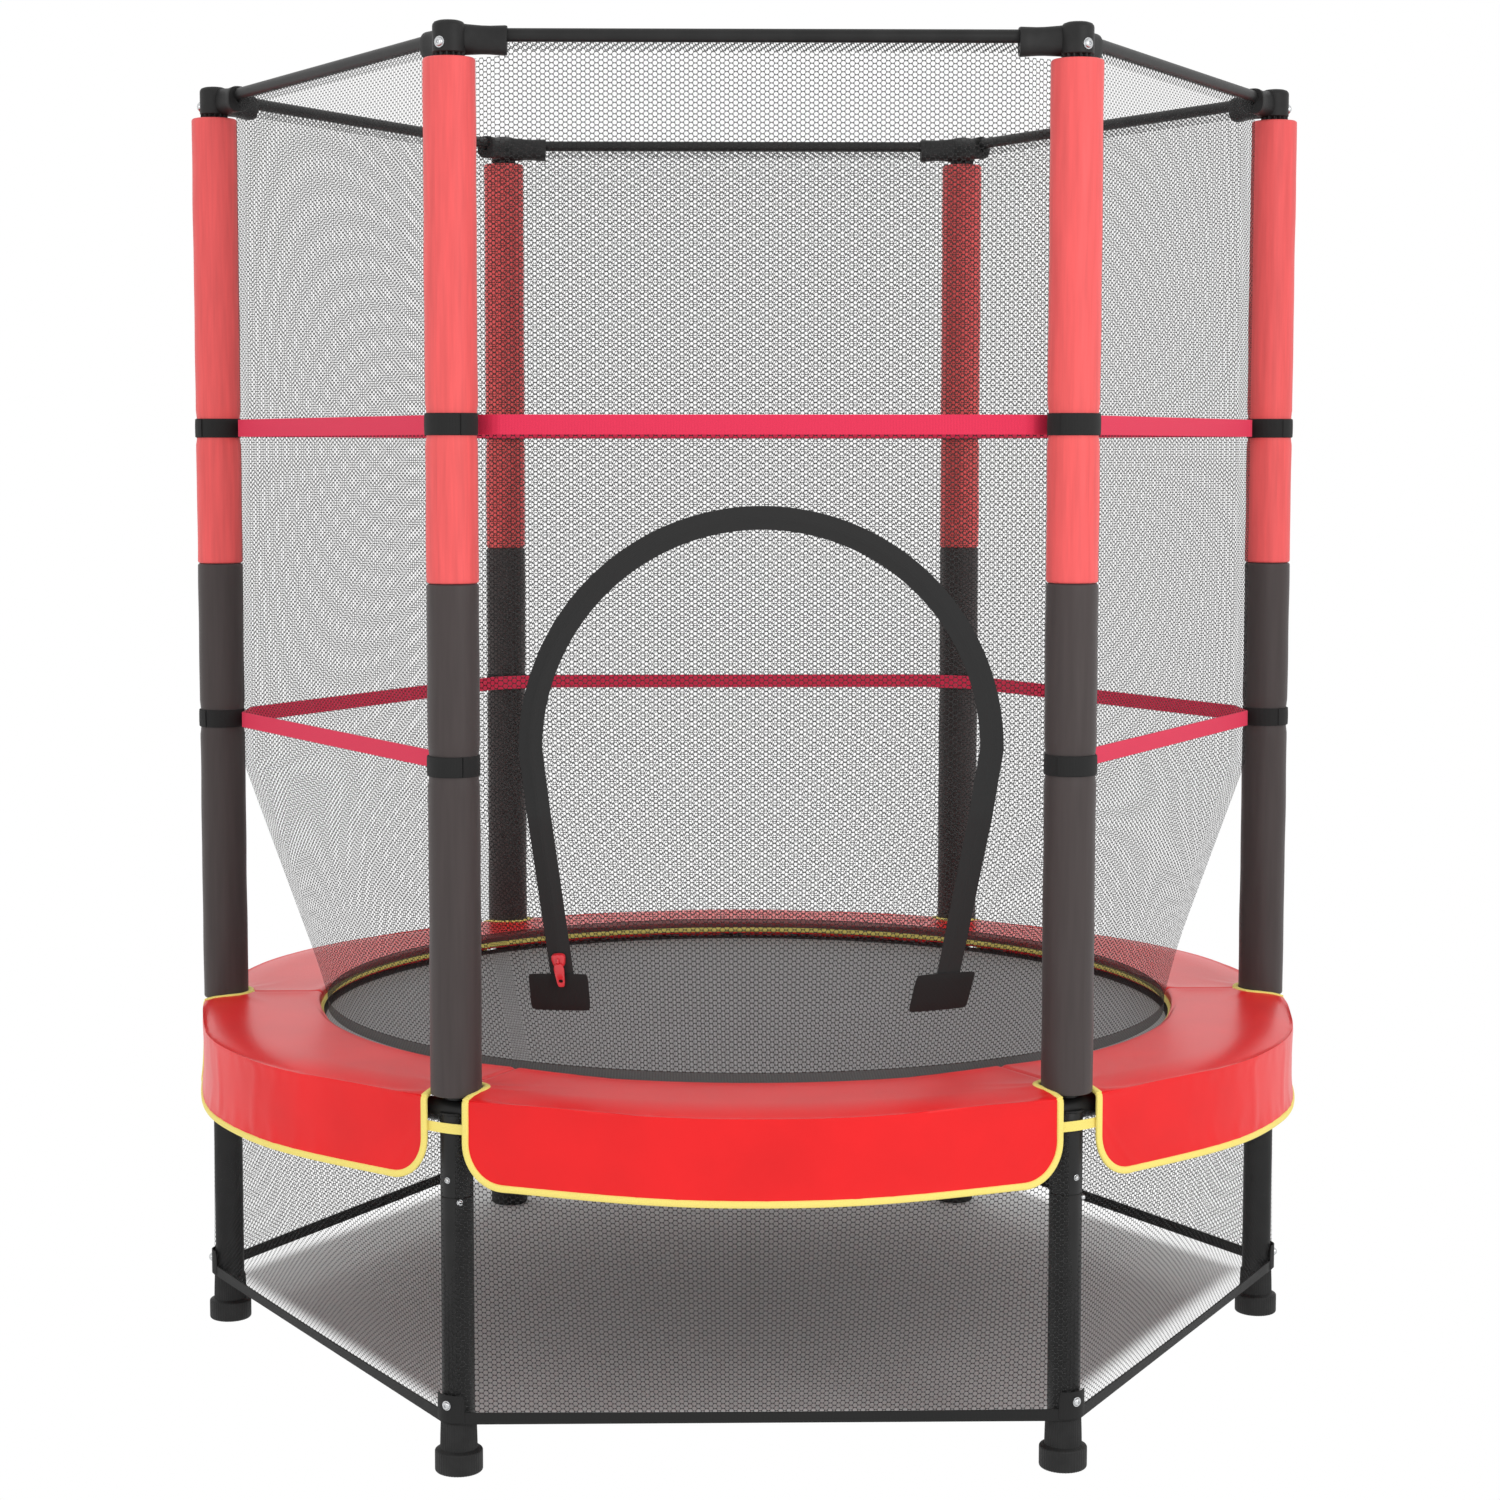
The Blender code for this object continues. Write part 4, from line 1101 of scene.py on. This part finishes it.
class TRAMPOLINE_OT_door(bpy.types.Operator):
    """The doorway's net, the zip tape round it, the two patches at its feet and the zip slider"""

    bl_idname = "trampoline.door"
    bl_label = "Door and zip"

    def flap(self):
        """Net from the doorway's middle out to its edge, in every direction."""
        bearing = np.linspace(-math.pi, math.pi, 161)
        reach = door_reach(bearing, DOOR_GAP)
        share = np.linspace(0.0, 1.0, 30)[:, None]
        x = DOOR_X + share * reach * np.cos(bearing)
        z = DOOR_SPRING + share * reach * np.sin(bearing)
        angle = front_angle(x, z)
        return [(on_net(angle, z), np.stack([net_run(angle), z], axis=-1))]

    def tape(self, sign):
        """Half of the zip tape: from the line of the zip out to its edge, raised beside the zip's coil."""
        line, out = door_line(DOOR_FOOT - 0.004, 44, 90)
        across = np.array([0.0, 0.0010, 0.0022, 0.0034, 0.0100, TAPE_HALF])
        lift = np.array([0.0023, 0.0025, 0.0023, 0.0019, 0.0018, 0.0014])
        x = line[:, 0] + sign * across[:, None] * out[:, 0]
        z = line[:, 1] + sign * across[:, None] * out[:, 1]
        front, back = on_front(x, z), on_front(x, z, 0.0006)
        front[..., 1] -= lift[:, None]
        return slab(front, back)

    def coil(self):
        """The zip's coil behind the two halves of the tape."""
        line, _ = door_line(DOOR_FOOT - 0.004, 44, 90)
        return tube(on_front(line[:, 0], line[:, 1], -0.0012), 0.0008, 0.0022, sides=8, up=(0.0, 1.0, 0.0))

    def patch(self, x, lean):
        """A folded rectangle of tape with its sides leaning a little."""
        wide, tall = PATCH_SIZE
        across, up = np.meshgrid(np.linspace(-0.5, 0.5, 15), np.linspace(-0.5, 0.5, 9))
        soft = 1 - 0.04 * (2 * np.abs(across)) ** 6 * (2 * np.abs(up)) ** 6
        px = x + wide * across * soft + lean * up
        pz = PATCH_HEIGHT + tall * up * soft + 0.002 * across
        pillow = 0.0012 * (1 - (2 * across) ** 8) * (1 - (2 * up) ** 8)
        front = on_front(px, pz, 0.0034)
        front[..., 1] -= pillow
        return slab(front, on_front(px, pz, 0.0022))

    def zip_place(self):
        """The zip's own axes on its left leg: across it, inwards and up, and the slider's origin."""
        points = []
        for shift, height in ((0.0, SLIDER_HEIGHT), (0.0, 0.700), (0.020, SLIDER_HEIGHT)):
            half = np.interp(height, ZIP_HEIGHTS, ZIP_HALF)
            points.append(on_front(ZIP_X - half + shift, height))
        up = unit(points[1] - points[0])
        inwards = unit(np.cross(up, points[2] - points[0]))
        return np.stack([np.cross(inwards, up), inwards, up]), points[0] - inwards * SLIDER_STANDOFF

    def slider(self):
        """A wedge whose outline is a squarish ellipse, wider at its head, crowned at the front, with the
        bridge that the pull hangs on."""
        angle = np.linspace(0.0, FULL, 49)
        share = np.array([1.0, 1.0, 0.93, 0.80, 0.5, 0.0])[:, None]
        depth = np.array([0.0, 0.0036, 0.0046, 0.0050, 0.0050, 0.0050])[:, None]
        squarish = 2 / 3.2
        up, side = bent(np.sin(angle), squarish), bent(np.cos(angle), squarish)
        half = (SLIDER_TOP_HALF + SLIDER_FOOT_HALF) / 2 + (SLIDER_TOP_HALF - SLIDER_FOOT_HALF) / 2 * up
        body = xyz(share * half * side, -depth, share * SLIDER_LENGTH / 2 * up)
        back = np.concatenate([body[:1], np.repeat(body[:1].mean(axis=1, keepdims=True), 49, axis=1)])
        bend = np.linspace(0.0, math.pi, 13)
        bridge = xyz(0.0, -0.0044 - 0.0032 * np.sin(bend), 0.0035 * np.cos(bend))
        return [grid(body), grid(back), tube(bridge, 0.0013, 0.0009, sides=12, up=(1, 0, 0))]

    def pull(self):
        """A plate, round at its foot and flared at its head, with a slot near its foot: its front and back
        each run from the slot's edge out to the outline."""
        angle = np.linspace(0.0, FULL, 65)
        height = -PULL_LENGTH / 2 + (PULL_LENGTH / 2 + 0.0008) * np.sin(angle)
        low = smooth((height + PULL_LENGTH * 0.70) / (PULL_LENGTH * 0.62))
        half = PULL_HALF * (0.86 + 0.24 * low)
        outline = np.stack([half * bent(np.cos(angle), 0.42), height], axis=-1)
        slot = np.stack([0.0025 * np.cos(angle), -0.0197 + 0.0021 * np.sin(angle)], axis=-1)
        share = np.array([0.0, 0.08, 0.5, 0.9, 1.0])[:, None, None]
        flat = slot * (1 - share) + outline * share
        crown = np.array([0.6, 1.0, 1.0, 0.95, 0.6])[:, None]
        faces = [xyz(flat[..., 0], sign * PULL_THICKNESS / 2 * crown, flat[..., 1]) for sign in (-1, 1)]
        edges = [np.stack([faces[0][row], faces[1][row]]) for row in (0, -1)]
        return [grid(points) for points in (*faces, *edges)]

    def execute(self, context):
        door = piece("door_net", self.flap(), net_mesh, ("door_flap",), body=None, closed=False)
        inner = piece("zip_tape_on_door", self.tape(-1), zip_tape, body=None)
        hinge = on_front(np.array(DOOR_X), np.array(DOOR_SILL))
        for part in (door, inner):
            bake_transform(part)
        piece("zip_tape_on_net", self.tape(1), zip_tape)
        piece("zip_coil", [self.coil()], black_webbing)
        patches = self.patch(DOOR_FOOT_X - DOOR_FOOT_HALF - 0.0045, -0.003)
        patches += self.patch(DOOR_FOOT_X + DOOR_FOOT_HALF - 0.0055, 0.009)
        piece("zip_patches", patches, black_webbing)
        axes, origin = self.zip_place()
        slider = [(points @ axes + origin, uv) for points, uv in self.slider()]
        piece("zip_slider_body", slider, red_zip_plastic, ("zip_slider",), "zip_slider")
        front = SLIDER_THICKNESS + PULL_GAP + PULL_THICKNESS / 2
        pivot = origin + np.array([0.0, -front, -PULL_PIVOT_DROP]) @ axes
        pull = [(points @ axes + pivot, uv) for points, uv in self.pull()]
        piece("zip_pull_tab", pull, red_zip_plastic, ("zip_pull",), "zip_pull")
        return {"FINISHED"}


class TRAMPOLINE_OT_skirt(bpy.types.Operator):
    """The net round the legs, its hem, and the tab and bolt that fix it to each leg"""

    bl_idname = "trampoline.skirt"
    bl_label = "Skirt net"

    def tab(self):
        """A piece of tape bent round the leg's outer side, narrower towards its top."""
        rows = np.linspace(SKIRT_HEM[0] + 0.002, SKIRT_HEM[1] + 0.019, 9)[:, None]
        share = (rows - rows[0]) / (rows[-1] - rows[0])
        reach = 0.88 - 0.10 * share**6
        angle = reach * np.linspace(-1.0, 1.0, 19)
        layers = [polar(SKIRT_CORNER + out, angle, rows) for out in (0.0030, 0.0016)]
        return slab(*[layer + (POLE_CIRCLE, 0.0, 0.0) for layer in layers])

    def execute(self, context):
        points = on_skirt(np.linspace(SKIRT_BOTTOM, SKIRT_TOP, 18), SKIRT_CORNER)
        net = piece("skirt_net_cloth", [grid(points)], net_mesh, ("skirt_net",), closed=False)
        rows = np.linspace(*SKIRT_HEM, 5)
        hem = slab(on_skirt(rows, SKIRT_CORNER + 0.0012), on_skirt(rows, SKIRT_CORNER - 0.0008))
        hem_piece = piece("skirt_hem", hem, black_webbing)
        tabs = six("skirt_tab", self.tab(), black_webbing)
        plan = skirt_outline(SKIRT_CORNER)
        head = (POLE_CIRCLE + SKIRT_CORNER + 0.0032, 0.0, 0.0790)
        six("skirt_bolt", [bolt_head(head, (1.0, 0.0, 0.0), 0.0042)], bright_bolt)
        return {"FINISHED"}


class TRAMPOLINE_OT_pad(bpy.types.Operator):
    """The pad's six sewn panels, swollen between their seams, with yellow binding, piping and elastics"""

    bl_idname = "trampoline.pad"
    bl_label = "Frame pad"

    def profile(self):
        """The cover from the inner rim's foot over the top, which falls a little to the seam at its outer
        edge, and down the skirt; and the half width of the notch at each of its points. Rows lie closer
        where the notch's edge turns."""
        turn_hole = np.radians(np.linspace(0.0, 126.0, 17))
        hole = POLE_CIRCLE - NOTCH_ROUND_POLE * np.cos(turn_hole)
        crest, seam = PAD_TOP - 0.0010, PAD_TOP - 0.0080
        rim = [(PAD_INNER, height) for height in np.linspace(PAD_UNDERSIDE, crest - 0.0072, 4)]
        rim += [(PAD_INNER + 0.007 - x, crest - 0.007 + z) for x, z in arc((0, 0), 0.007, 15, 90, 6)]
        reach = np.concatenate([np.linspace(PAD_INNER + 0.011, hole[0], 18)[:-1], hole])
        reach = np.concatenate([reach, np.linspace(hole[-1], PAD_RADIUS - 0.0012, 7)[1:]])
        fall = np.clip((reach - 0.640) / (PAD_RADIUS - 0.0012 - 0.640), 0.0, 1.0)
        top = [(radius, crest - (crest - seam) * drop) for radius, drop in zip(reach, fall**2.4)]
        edge = [(PAD_RADIUS - 0.0022, seam - 0.0012), (PAD_RADIUS - 0.0006, seam - 0.0026)]
        flap_turn = np.radians(np.linspace(0.0, 90.0, 14))
        foot = PAD_SKIRT_BOTTOM + 0.0040
        start = foot + NOTCH_CORNER
        skirt = [(PAD_RADIUS, height) for height in np.linspace(seam - 0.0060, start, 12)[:-1]]
        skirt += [(PAD_RADIUS, start - NOTCH_CORNER * s) for s in np.sin(flap_turn)]
        outer = np.array(rim + top + edge + skirt)
        radius, height = outer.T
        within = np.clip(NOTCH_ROUND_POLE**2 - (radius - POLE_CIRCLE) ** 2, 0.0, None)
        across = np.where(radius < hole[0], 0.0, np.sqrt(within))
        across = np.where(radius > POLE_CIRCLE, np.maximum(across, NOTCH_HALF), across)
        drop = np.clip((start - height) / NOTCH_CORNER, 0.0, 1.0)
        across = across + NOTCH_CORNER * (1 - np.sqrt(1 - drop**2))
        self.seam_row = len(rim) + len(top)
        return outer, across

    def back(self, outer):
        """The point behind each point of the cover: the underside below the top, the inside of the skirt."""
        radius, height = outer.T
        stations = [PAD_INNER, 0.552, 0.684, PAD_RADIUS]
        below = np.interp(radius, stations, [PAD_UNDERSIDE, 0.4095, 0.4142, 0.4120])
        inside = np.interp(height, [PAD_SKIRT_BOTTOM, 0.340, 0.412], [0.6972, 0.6965, 0.6955])
        on_skirt_part = smooth((radius - 0.6860) / 0.0120)
        back_radius = np.where(radius < 0.552, PAD_INNER + 0.003 + (radius - PAD_INNER) * 0.75, radius)
        back_radius = back_radius * (1 - on_skirt_part) + np.minimum(inside, radius) * on_skirt_part
        back_height = (
            np.minimum(below, height) * (1 - on_skirt_part)
            + np.minimum(height, 0.4110) * on_skirt_part
        )
        return np.stack([back_radius, back_height], axis=-1)

    def panel(self, flat, across, columns=121):
        """A sector of the pad from seam to seam: each row's angle runs over what the notch leaves of it."""
        share = np.sin(np.linspace(-1.0, 1.0, columns) * math.pi / 2)
        share = 0.55 * share + 0.45 * np.linspace(-1.0, 1.0, columns)
        half = SECTOR / 2 - np.arcsin(across / flat[:, 0]) - 0.0003 / flat[:, 0]
        angle = SECTOR / 2 + half[:, None] * share
        from_middle = np.abs(angle - SECTOR / 2) / (SECTOR / 2)
        drawn_in = PAD_DRAWN_IN * smooth((from_middle - 0.12) / 0.62)
        radius = flat[:, :1] - drawn_in * smooth((flat[:, :1] - 0.62) / 0.05)
        from_edge = (half * flat[:, 0])[:, None] * (1 - np.abs(share))
        return polar(radius, angle, flat[:, 1:]), from_edge

    def swollen(self, points, held):
        """The cover after its own stuffing has pushed it out: cloth under pressure, held at its seams, with
        the distance that each point moves eased to the pad's swell."""
        rows, columns = points.shape[:2]
        mesh = bpy.data.meshes.new("pad_cover")
        index = np.arange(rows * columns).reshape(rows, columns)
        cells = (index[:-1, :-1], index[:-1, 1:], index[1:, 1:], index[1:, :-1])
        mesh.from_pydata(points.reshape(-1, 3), [], np.stack(cells, axis=-1).reshape(-1, 4))
        cover = bpy.data.objects.new("pad_cover", mesh)
        bpy.context.scene.collection.objects.link(cover)
        group = cover.vertex_groups.new(name="seams")
        group.add(np.flatnonzero(held.ravel()).tolist(), 1.0, "REPLACE")
        cloth = cover.modifiers.new("stuffing", "CLOTH").settings
        cloth.quality = 6
        cloth.mass = 0.25
        cloth.tension_stiffness = 18
        cloth.compression_stiffness = 18
        cloth.bending_stiffness = 0.6
        cloth.use_pressure = True
        cloth.uniform_pressure_force = 4.0
        cloth.vertex_group_mass = group.name
        cloth.effector_weights.gravity = 0.0
        scene = bpy.context.scene
        for step in range(1, 21):
            scene.frame_set(step)
        graph = bpy.context.evaluated_depsgraph_get()
        result = cover.evaluated_get(graph).to_mesh()
        moved = np.empty(rows * columns * 3, np.float32)
        result.vertices.foreach_get("co", moved)
        cover.evaluated_get(graph).to_mesh_clear()
        bpy.data.objects.remove(cover)
        scene.frame_set(1)
        step = moved.reshape(rows, columns, 3).astype(float) - points
        far = np.linalg.norm(step, axis=-1, keepdims=True)
        limit = looks().pad_swell
        return points + step * limit * np.tanh(far / limit) / np.maximum(far, 1e-9)

    def execute(self, context):
        flat, across = self.profile()
        cover, from_edge = self.panel(flat, across)
        seam_rows = (across == 0)[:, None]
        pinch = 0.0020 * np.exp(-((from_edge / 0.0035) ** 2)) * seam_rows
        held = np.zeros(cover.shape[:2], bool)
        held[[0, 1, 2, -1, -2]] = True
        held[:, [0, -1]] = True
        held[self.seam_row] = True
        cover = self.swollen(cover, held)
        cover[..., 2] -= pinch
        rear, _ = self.panel(self.back(flat), across)
        thick = (0.22 + 0.78 * smooth(from_edge / 0.014))[..., None]
        rear = cover + (rear - cover) * thick
        for panel in six("pad_panel", slab(cover, rear), red_pad_vinyl, "frame_pad", SIDES, sharp=50.0):
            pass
        first = int(np.flatnonzero(across > 0)[0]) - 1
        edges = []
        for side in (cover, rear):
            edges.append(np.concatenate([side[first:, 0], side[-1, 1:-1], side[first:, -1][::-1]]))
        way, behind = edges
        binding = tube((way + behind) / 2, 0.0027, BINDING_WIDTH / 2, 14, unit(way - behind), power=2.6)
        six("pad_binding", [binding], yellow_binding, names=SIDES)
        angle = np.linspace(0.0, FULL, 288, endpoint=False)
        rim = polar(PAD_INNER - 0.0016, angle, PAD_UNDERSIDE + 0.0056)
        piece("pad_piping", [tube(rim, 0.0026, 0.0035, 12, heading(angle), closed=True)], yellow_binding)
        run = np.linspace(-0.030, 0.030, 15)
        height = np.linspace(*ELASTIC, 4)[:, None] - 0.0012 * (1 - (run / run[-1]) ** 2)
        six("pad_elastic", slab(*[xyz(radius, run, height) for radius in (0.6840, 0.6830)]), yellow_binding)
        return {"FINISHED"}


class TRAMPOLINE_OT_mat(bpy.types.Operator):
    """The jumping mat in twelve flat wedges, with its edge tape and the lacing"""

    bl_idname = "trampoline.mat"
    bl_label = "Mat and lacing"

    def wedge(self, start, end):
        """A sector of the mat, thin and flat, on a grid of radius and angle."""
        reach = np.concatenate([[0.0], np.linspace(0.012, MAT_RADIUS - 0.003, 56)])[:, None]
        angle = np.linspace(start, end, 26)
        return slab(*[polar(reach, angle, RING_HEIGHT + side * MAT_THICKNESS) for side in (-0.5, 0.5)])

    def eye(self, reach, angle, radius):
        """An upright wire ring that the cord passes through."""
        round_it = np.linspace(0.0, FULL, 16, endpoint=False)[:, None]
        ring = np.cos(round_it) * heading(angle) + np.sin(round_it) * (0.0, 0.0, 1.0)
        wire = polar(reach, angle, RING_HEIGHT) + radius * ring
        return tube(wire, 0.0009, sides=6, up=heading(angle + math.pi / 2), closed=True)

    def edge_tape(self):
        """Tape folded over the mat's edge: a flat ring with a rounded rim."""
        flat = [(MAT_RADIUS - 0.026, -0.0018), (MAT_RADIUS - 0.026, 0.0018), (MAT_RADIUS - 0.014, 0.0026)]
        flat += [(MAT_RADIUS - 0.003, 0.0026)]
        flat += [(MAT_RADIUS - 0.0026 + x, z) for x, z in arc((0, 0), 0.0026, 90, -90, 7)]
        flat += [(MAT_RADIUS - 0.014, -0.0026), (MAT_RADIUS - 0.026, -0.0018)]
        profile = [(radius, RING_HEIGHT + height) for radius, height in flat]
        return turned(profile, 288, (0.0, 0.0))

    def execute(self, context):
        piece("mat_edge_tape", [self.edge_tape()], black_webbing)
        wide = FULL / WEDGES
        for index in range(WEDGES):
            start = index * wide
            cloth = self.wedge(start, start + wide)
            made = piece(f"mat_wedge_{index + 1:02d}", cloth, mat_fabric, ("jump_mat",), None)
            rim, hub = (polar(radius, start + wide / 2, RING_HEIGHT) for radius in (MAT_RADIUS, 0.05))
            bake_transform(made)
        angle = np.linspace(0.0, FULL, LACING_HOOKS * 24, endpoint=False)
        wave = np.arcsin(0.985 * -np.cos(LACING_HOOKS * angle)) / math.asin(0.985)
        mid, swing = (LACING_OUTER + LACING_INNER) / 2, (LACING_OUTER - LACING_INNER) / 2
        cord = tube(polar(mid + swing * wave, angle, RING_HEIGHT), 0.0024, sides=8, closed=True)
        piece("mat_lacing_cord", [cord], elastic_cord, ("mat_lacing",))
        loops, eyes = [], []
        for hook in range(LACING_HOOKS):
            at = (hook + 0.5) * FULL / LACING_HOOKS
            if min(abs(at % SECTOR), SECTOR - abs(at % SECTOR)) > 0.05:
                along = polar(POLE_CIRCLE, at + np.linspace(-0.008, 0.008, 4), RING_HEIGHT)
                loops.append(tube(along, TUBE_RADIUS + 0.0009, sides=20))
            eyes.append(self.eye(LACING_OUTER + 0.0005, at, 0.0042))
            eyes.append(self.eye(LACING_INNER - 0.0010, hook * FULL / LACING_HOOKS, 0.0046))
        piece("ring_loops", loops, black_webbing)
        piece("lacing_eyes", eyes, bright_bolt)
        return {"FINISHED"}


class TRAMPOLINE_OT_stage(bpy.types.Operator):
    """A pale floor that glows white beyond the trampoline's shadow as painted light, soft studio light and
    the camera
    """

    bl_idname = "trampoline.stage"
    bl_label = "Stage"

    def light(self, name, place_at, power):
        data = bpy.data.lights.new(name, "AREA")
        data.shape = "DISK"
        data.size = LIGHT_SIZE
        data.energy = power
        lamp = bpy.data.objects.new(name, data)
        bpy.context.scene.collection.objects.link(lamp)
        lamp.location = place_at
        x, y, z = np.array(LIGHT_AIM) - place_at
        lamp.rotation_euler = (math.atan2(math.hypot(x, y), -z), 0.0, math.atan2(-x, y))

    def execute(self, context):
        scene = context.scene
        reach = np.array([0.001, 0.6, 1.2, 2.5, 6.0, 14.0, 40.0])[:, None]
        around = polar(reach, np.linspace(0.0, FULL, 65), 0.0)
        mesh = mesh_from("floor", [grid(around[::-1])], closed=False)
        mesh.materials.append(finish(floor_with_painted_glow))
        floor = bpy.data.objects.new("floor", mesh)
        scene.collection.objects.link(floor)
        world = bpy.data.worlds.new("studio_white")
        world.use_nodes = True
        world.node_tree.nodes["Background"].inputs["Color"].default_value = WHITE
        world.node_tree.nodes["Background"].inputs["Strength"].default_value = 1.0
        scene.world = world
        scene.view_settings.view_transform = "Standard"
        for name, (place_at, power) in LIGHTS.items():
            self.light(name, place_at, power)
        data = bpy.data.cameras.new("camera")
        data.sensor_width = 36.0
        data.lens = LENS
        data.shift_x, data.shift_y = LENS_SHIFT
        data.clip_end = 100.0
        camera = bpy.data.objects.new("camera", data)
        scene.collection.objects.link(camera)
        camera.location = CAMERA_PLACE
        camera.rotation_euler = (math.radians(90.0 - CAMERA_DOWN), 0.0, math.radians(CAMERA_ASIDE))
        scene.camera = camera
        return {"FINISHED"}


class TRAMPOLINE_PT_sidebar(bpy.types.Panel):
    """The pieces and the settings that they read"""

    bl_idname = "TRAMPOLINE_PT_sidebar"
    bl_label = "Trampoline"
    bl_space_type = "VIEW_3D"
    bl_region_type = "UI"
    bl_category = "Trampoline"

    def draw(self, context):
        for setting in TrampolineLooks.__annotations__:
            self.layout.prop(context.scene.trampoline_looks, setting)
        for operator in OPERATORS:
            self.layout.operator(operator.bl_idname)


OPERATORS = (
    TRAMPOLINE_OT_ring,
    TRAMPOLINE_OT_legs,
    TRAMPOLINE_OT_feet,
    TRAMPOLINE_OT_poles,
    TRAMPOLINE_OT_sleeves,
    TRAMPOLINE_OT_straps,
    TRAMPOLINE_OT_caps,
    TRAMPOLINE_OT_rods,
    TRAMPOLINE_OT_safety_net,
    TRAMPOLINE_OT_door,
    TRAMPOLINE_OT_skirt,
    TRAMPOLINE_OT_pad,
    TRAMPOLINE_OT_mat,
    TRAMPOLINE_OT_stage,
)
CLASSES = (TrampolineLooks, *OPERATORS, TRAMPOLINE_PT_sidebar)


def register():
    for cls in CLASSES:
        bpy.utils.register_class(cls)
    bpy.types.Scene.trampoline_looks = PointerProperty(type=TrampolineLooks)


def unregister():
    del bpy.types.Scene.trampoline_looks
    for cls in reversed(CLASSES):
        bpy.utils.unregister_class(cls)


def clear_startup():
    """Removes the startup scene's own cube, lamp and camera."""
    for name in ("Cube", "Light", "Camera"):
        if name in bpy.data.objects:
            bpy.data.objects.remove(bpy.data.objects[name])


def main():
    clear_startup()
    register()
    for operator in OPERATORS:
        getattr(bpy.ops.trampoline, operator.bl_idname.split(".")[1])()


if __name__ == "__main__":
    main()
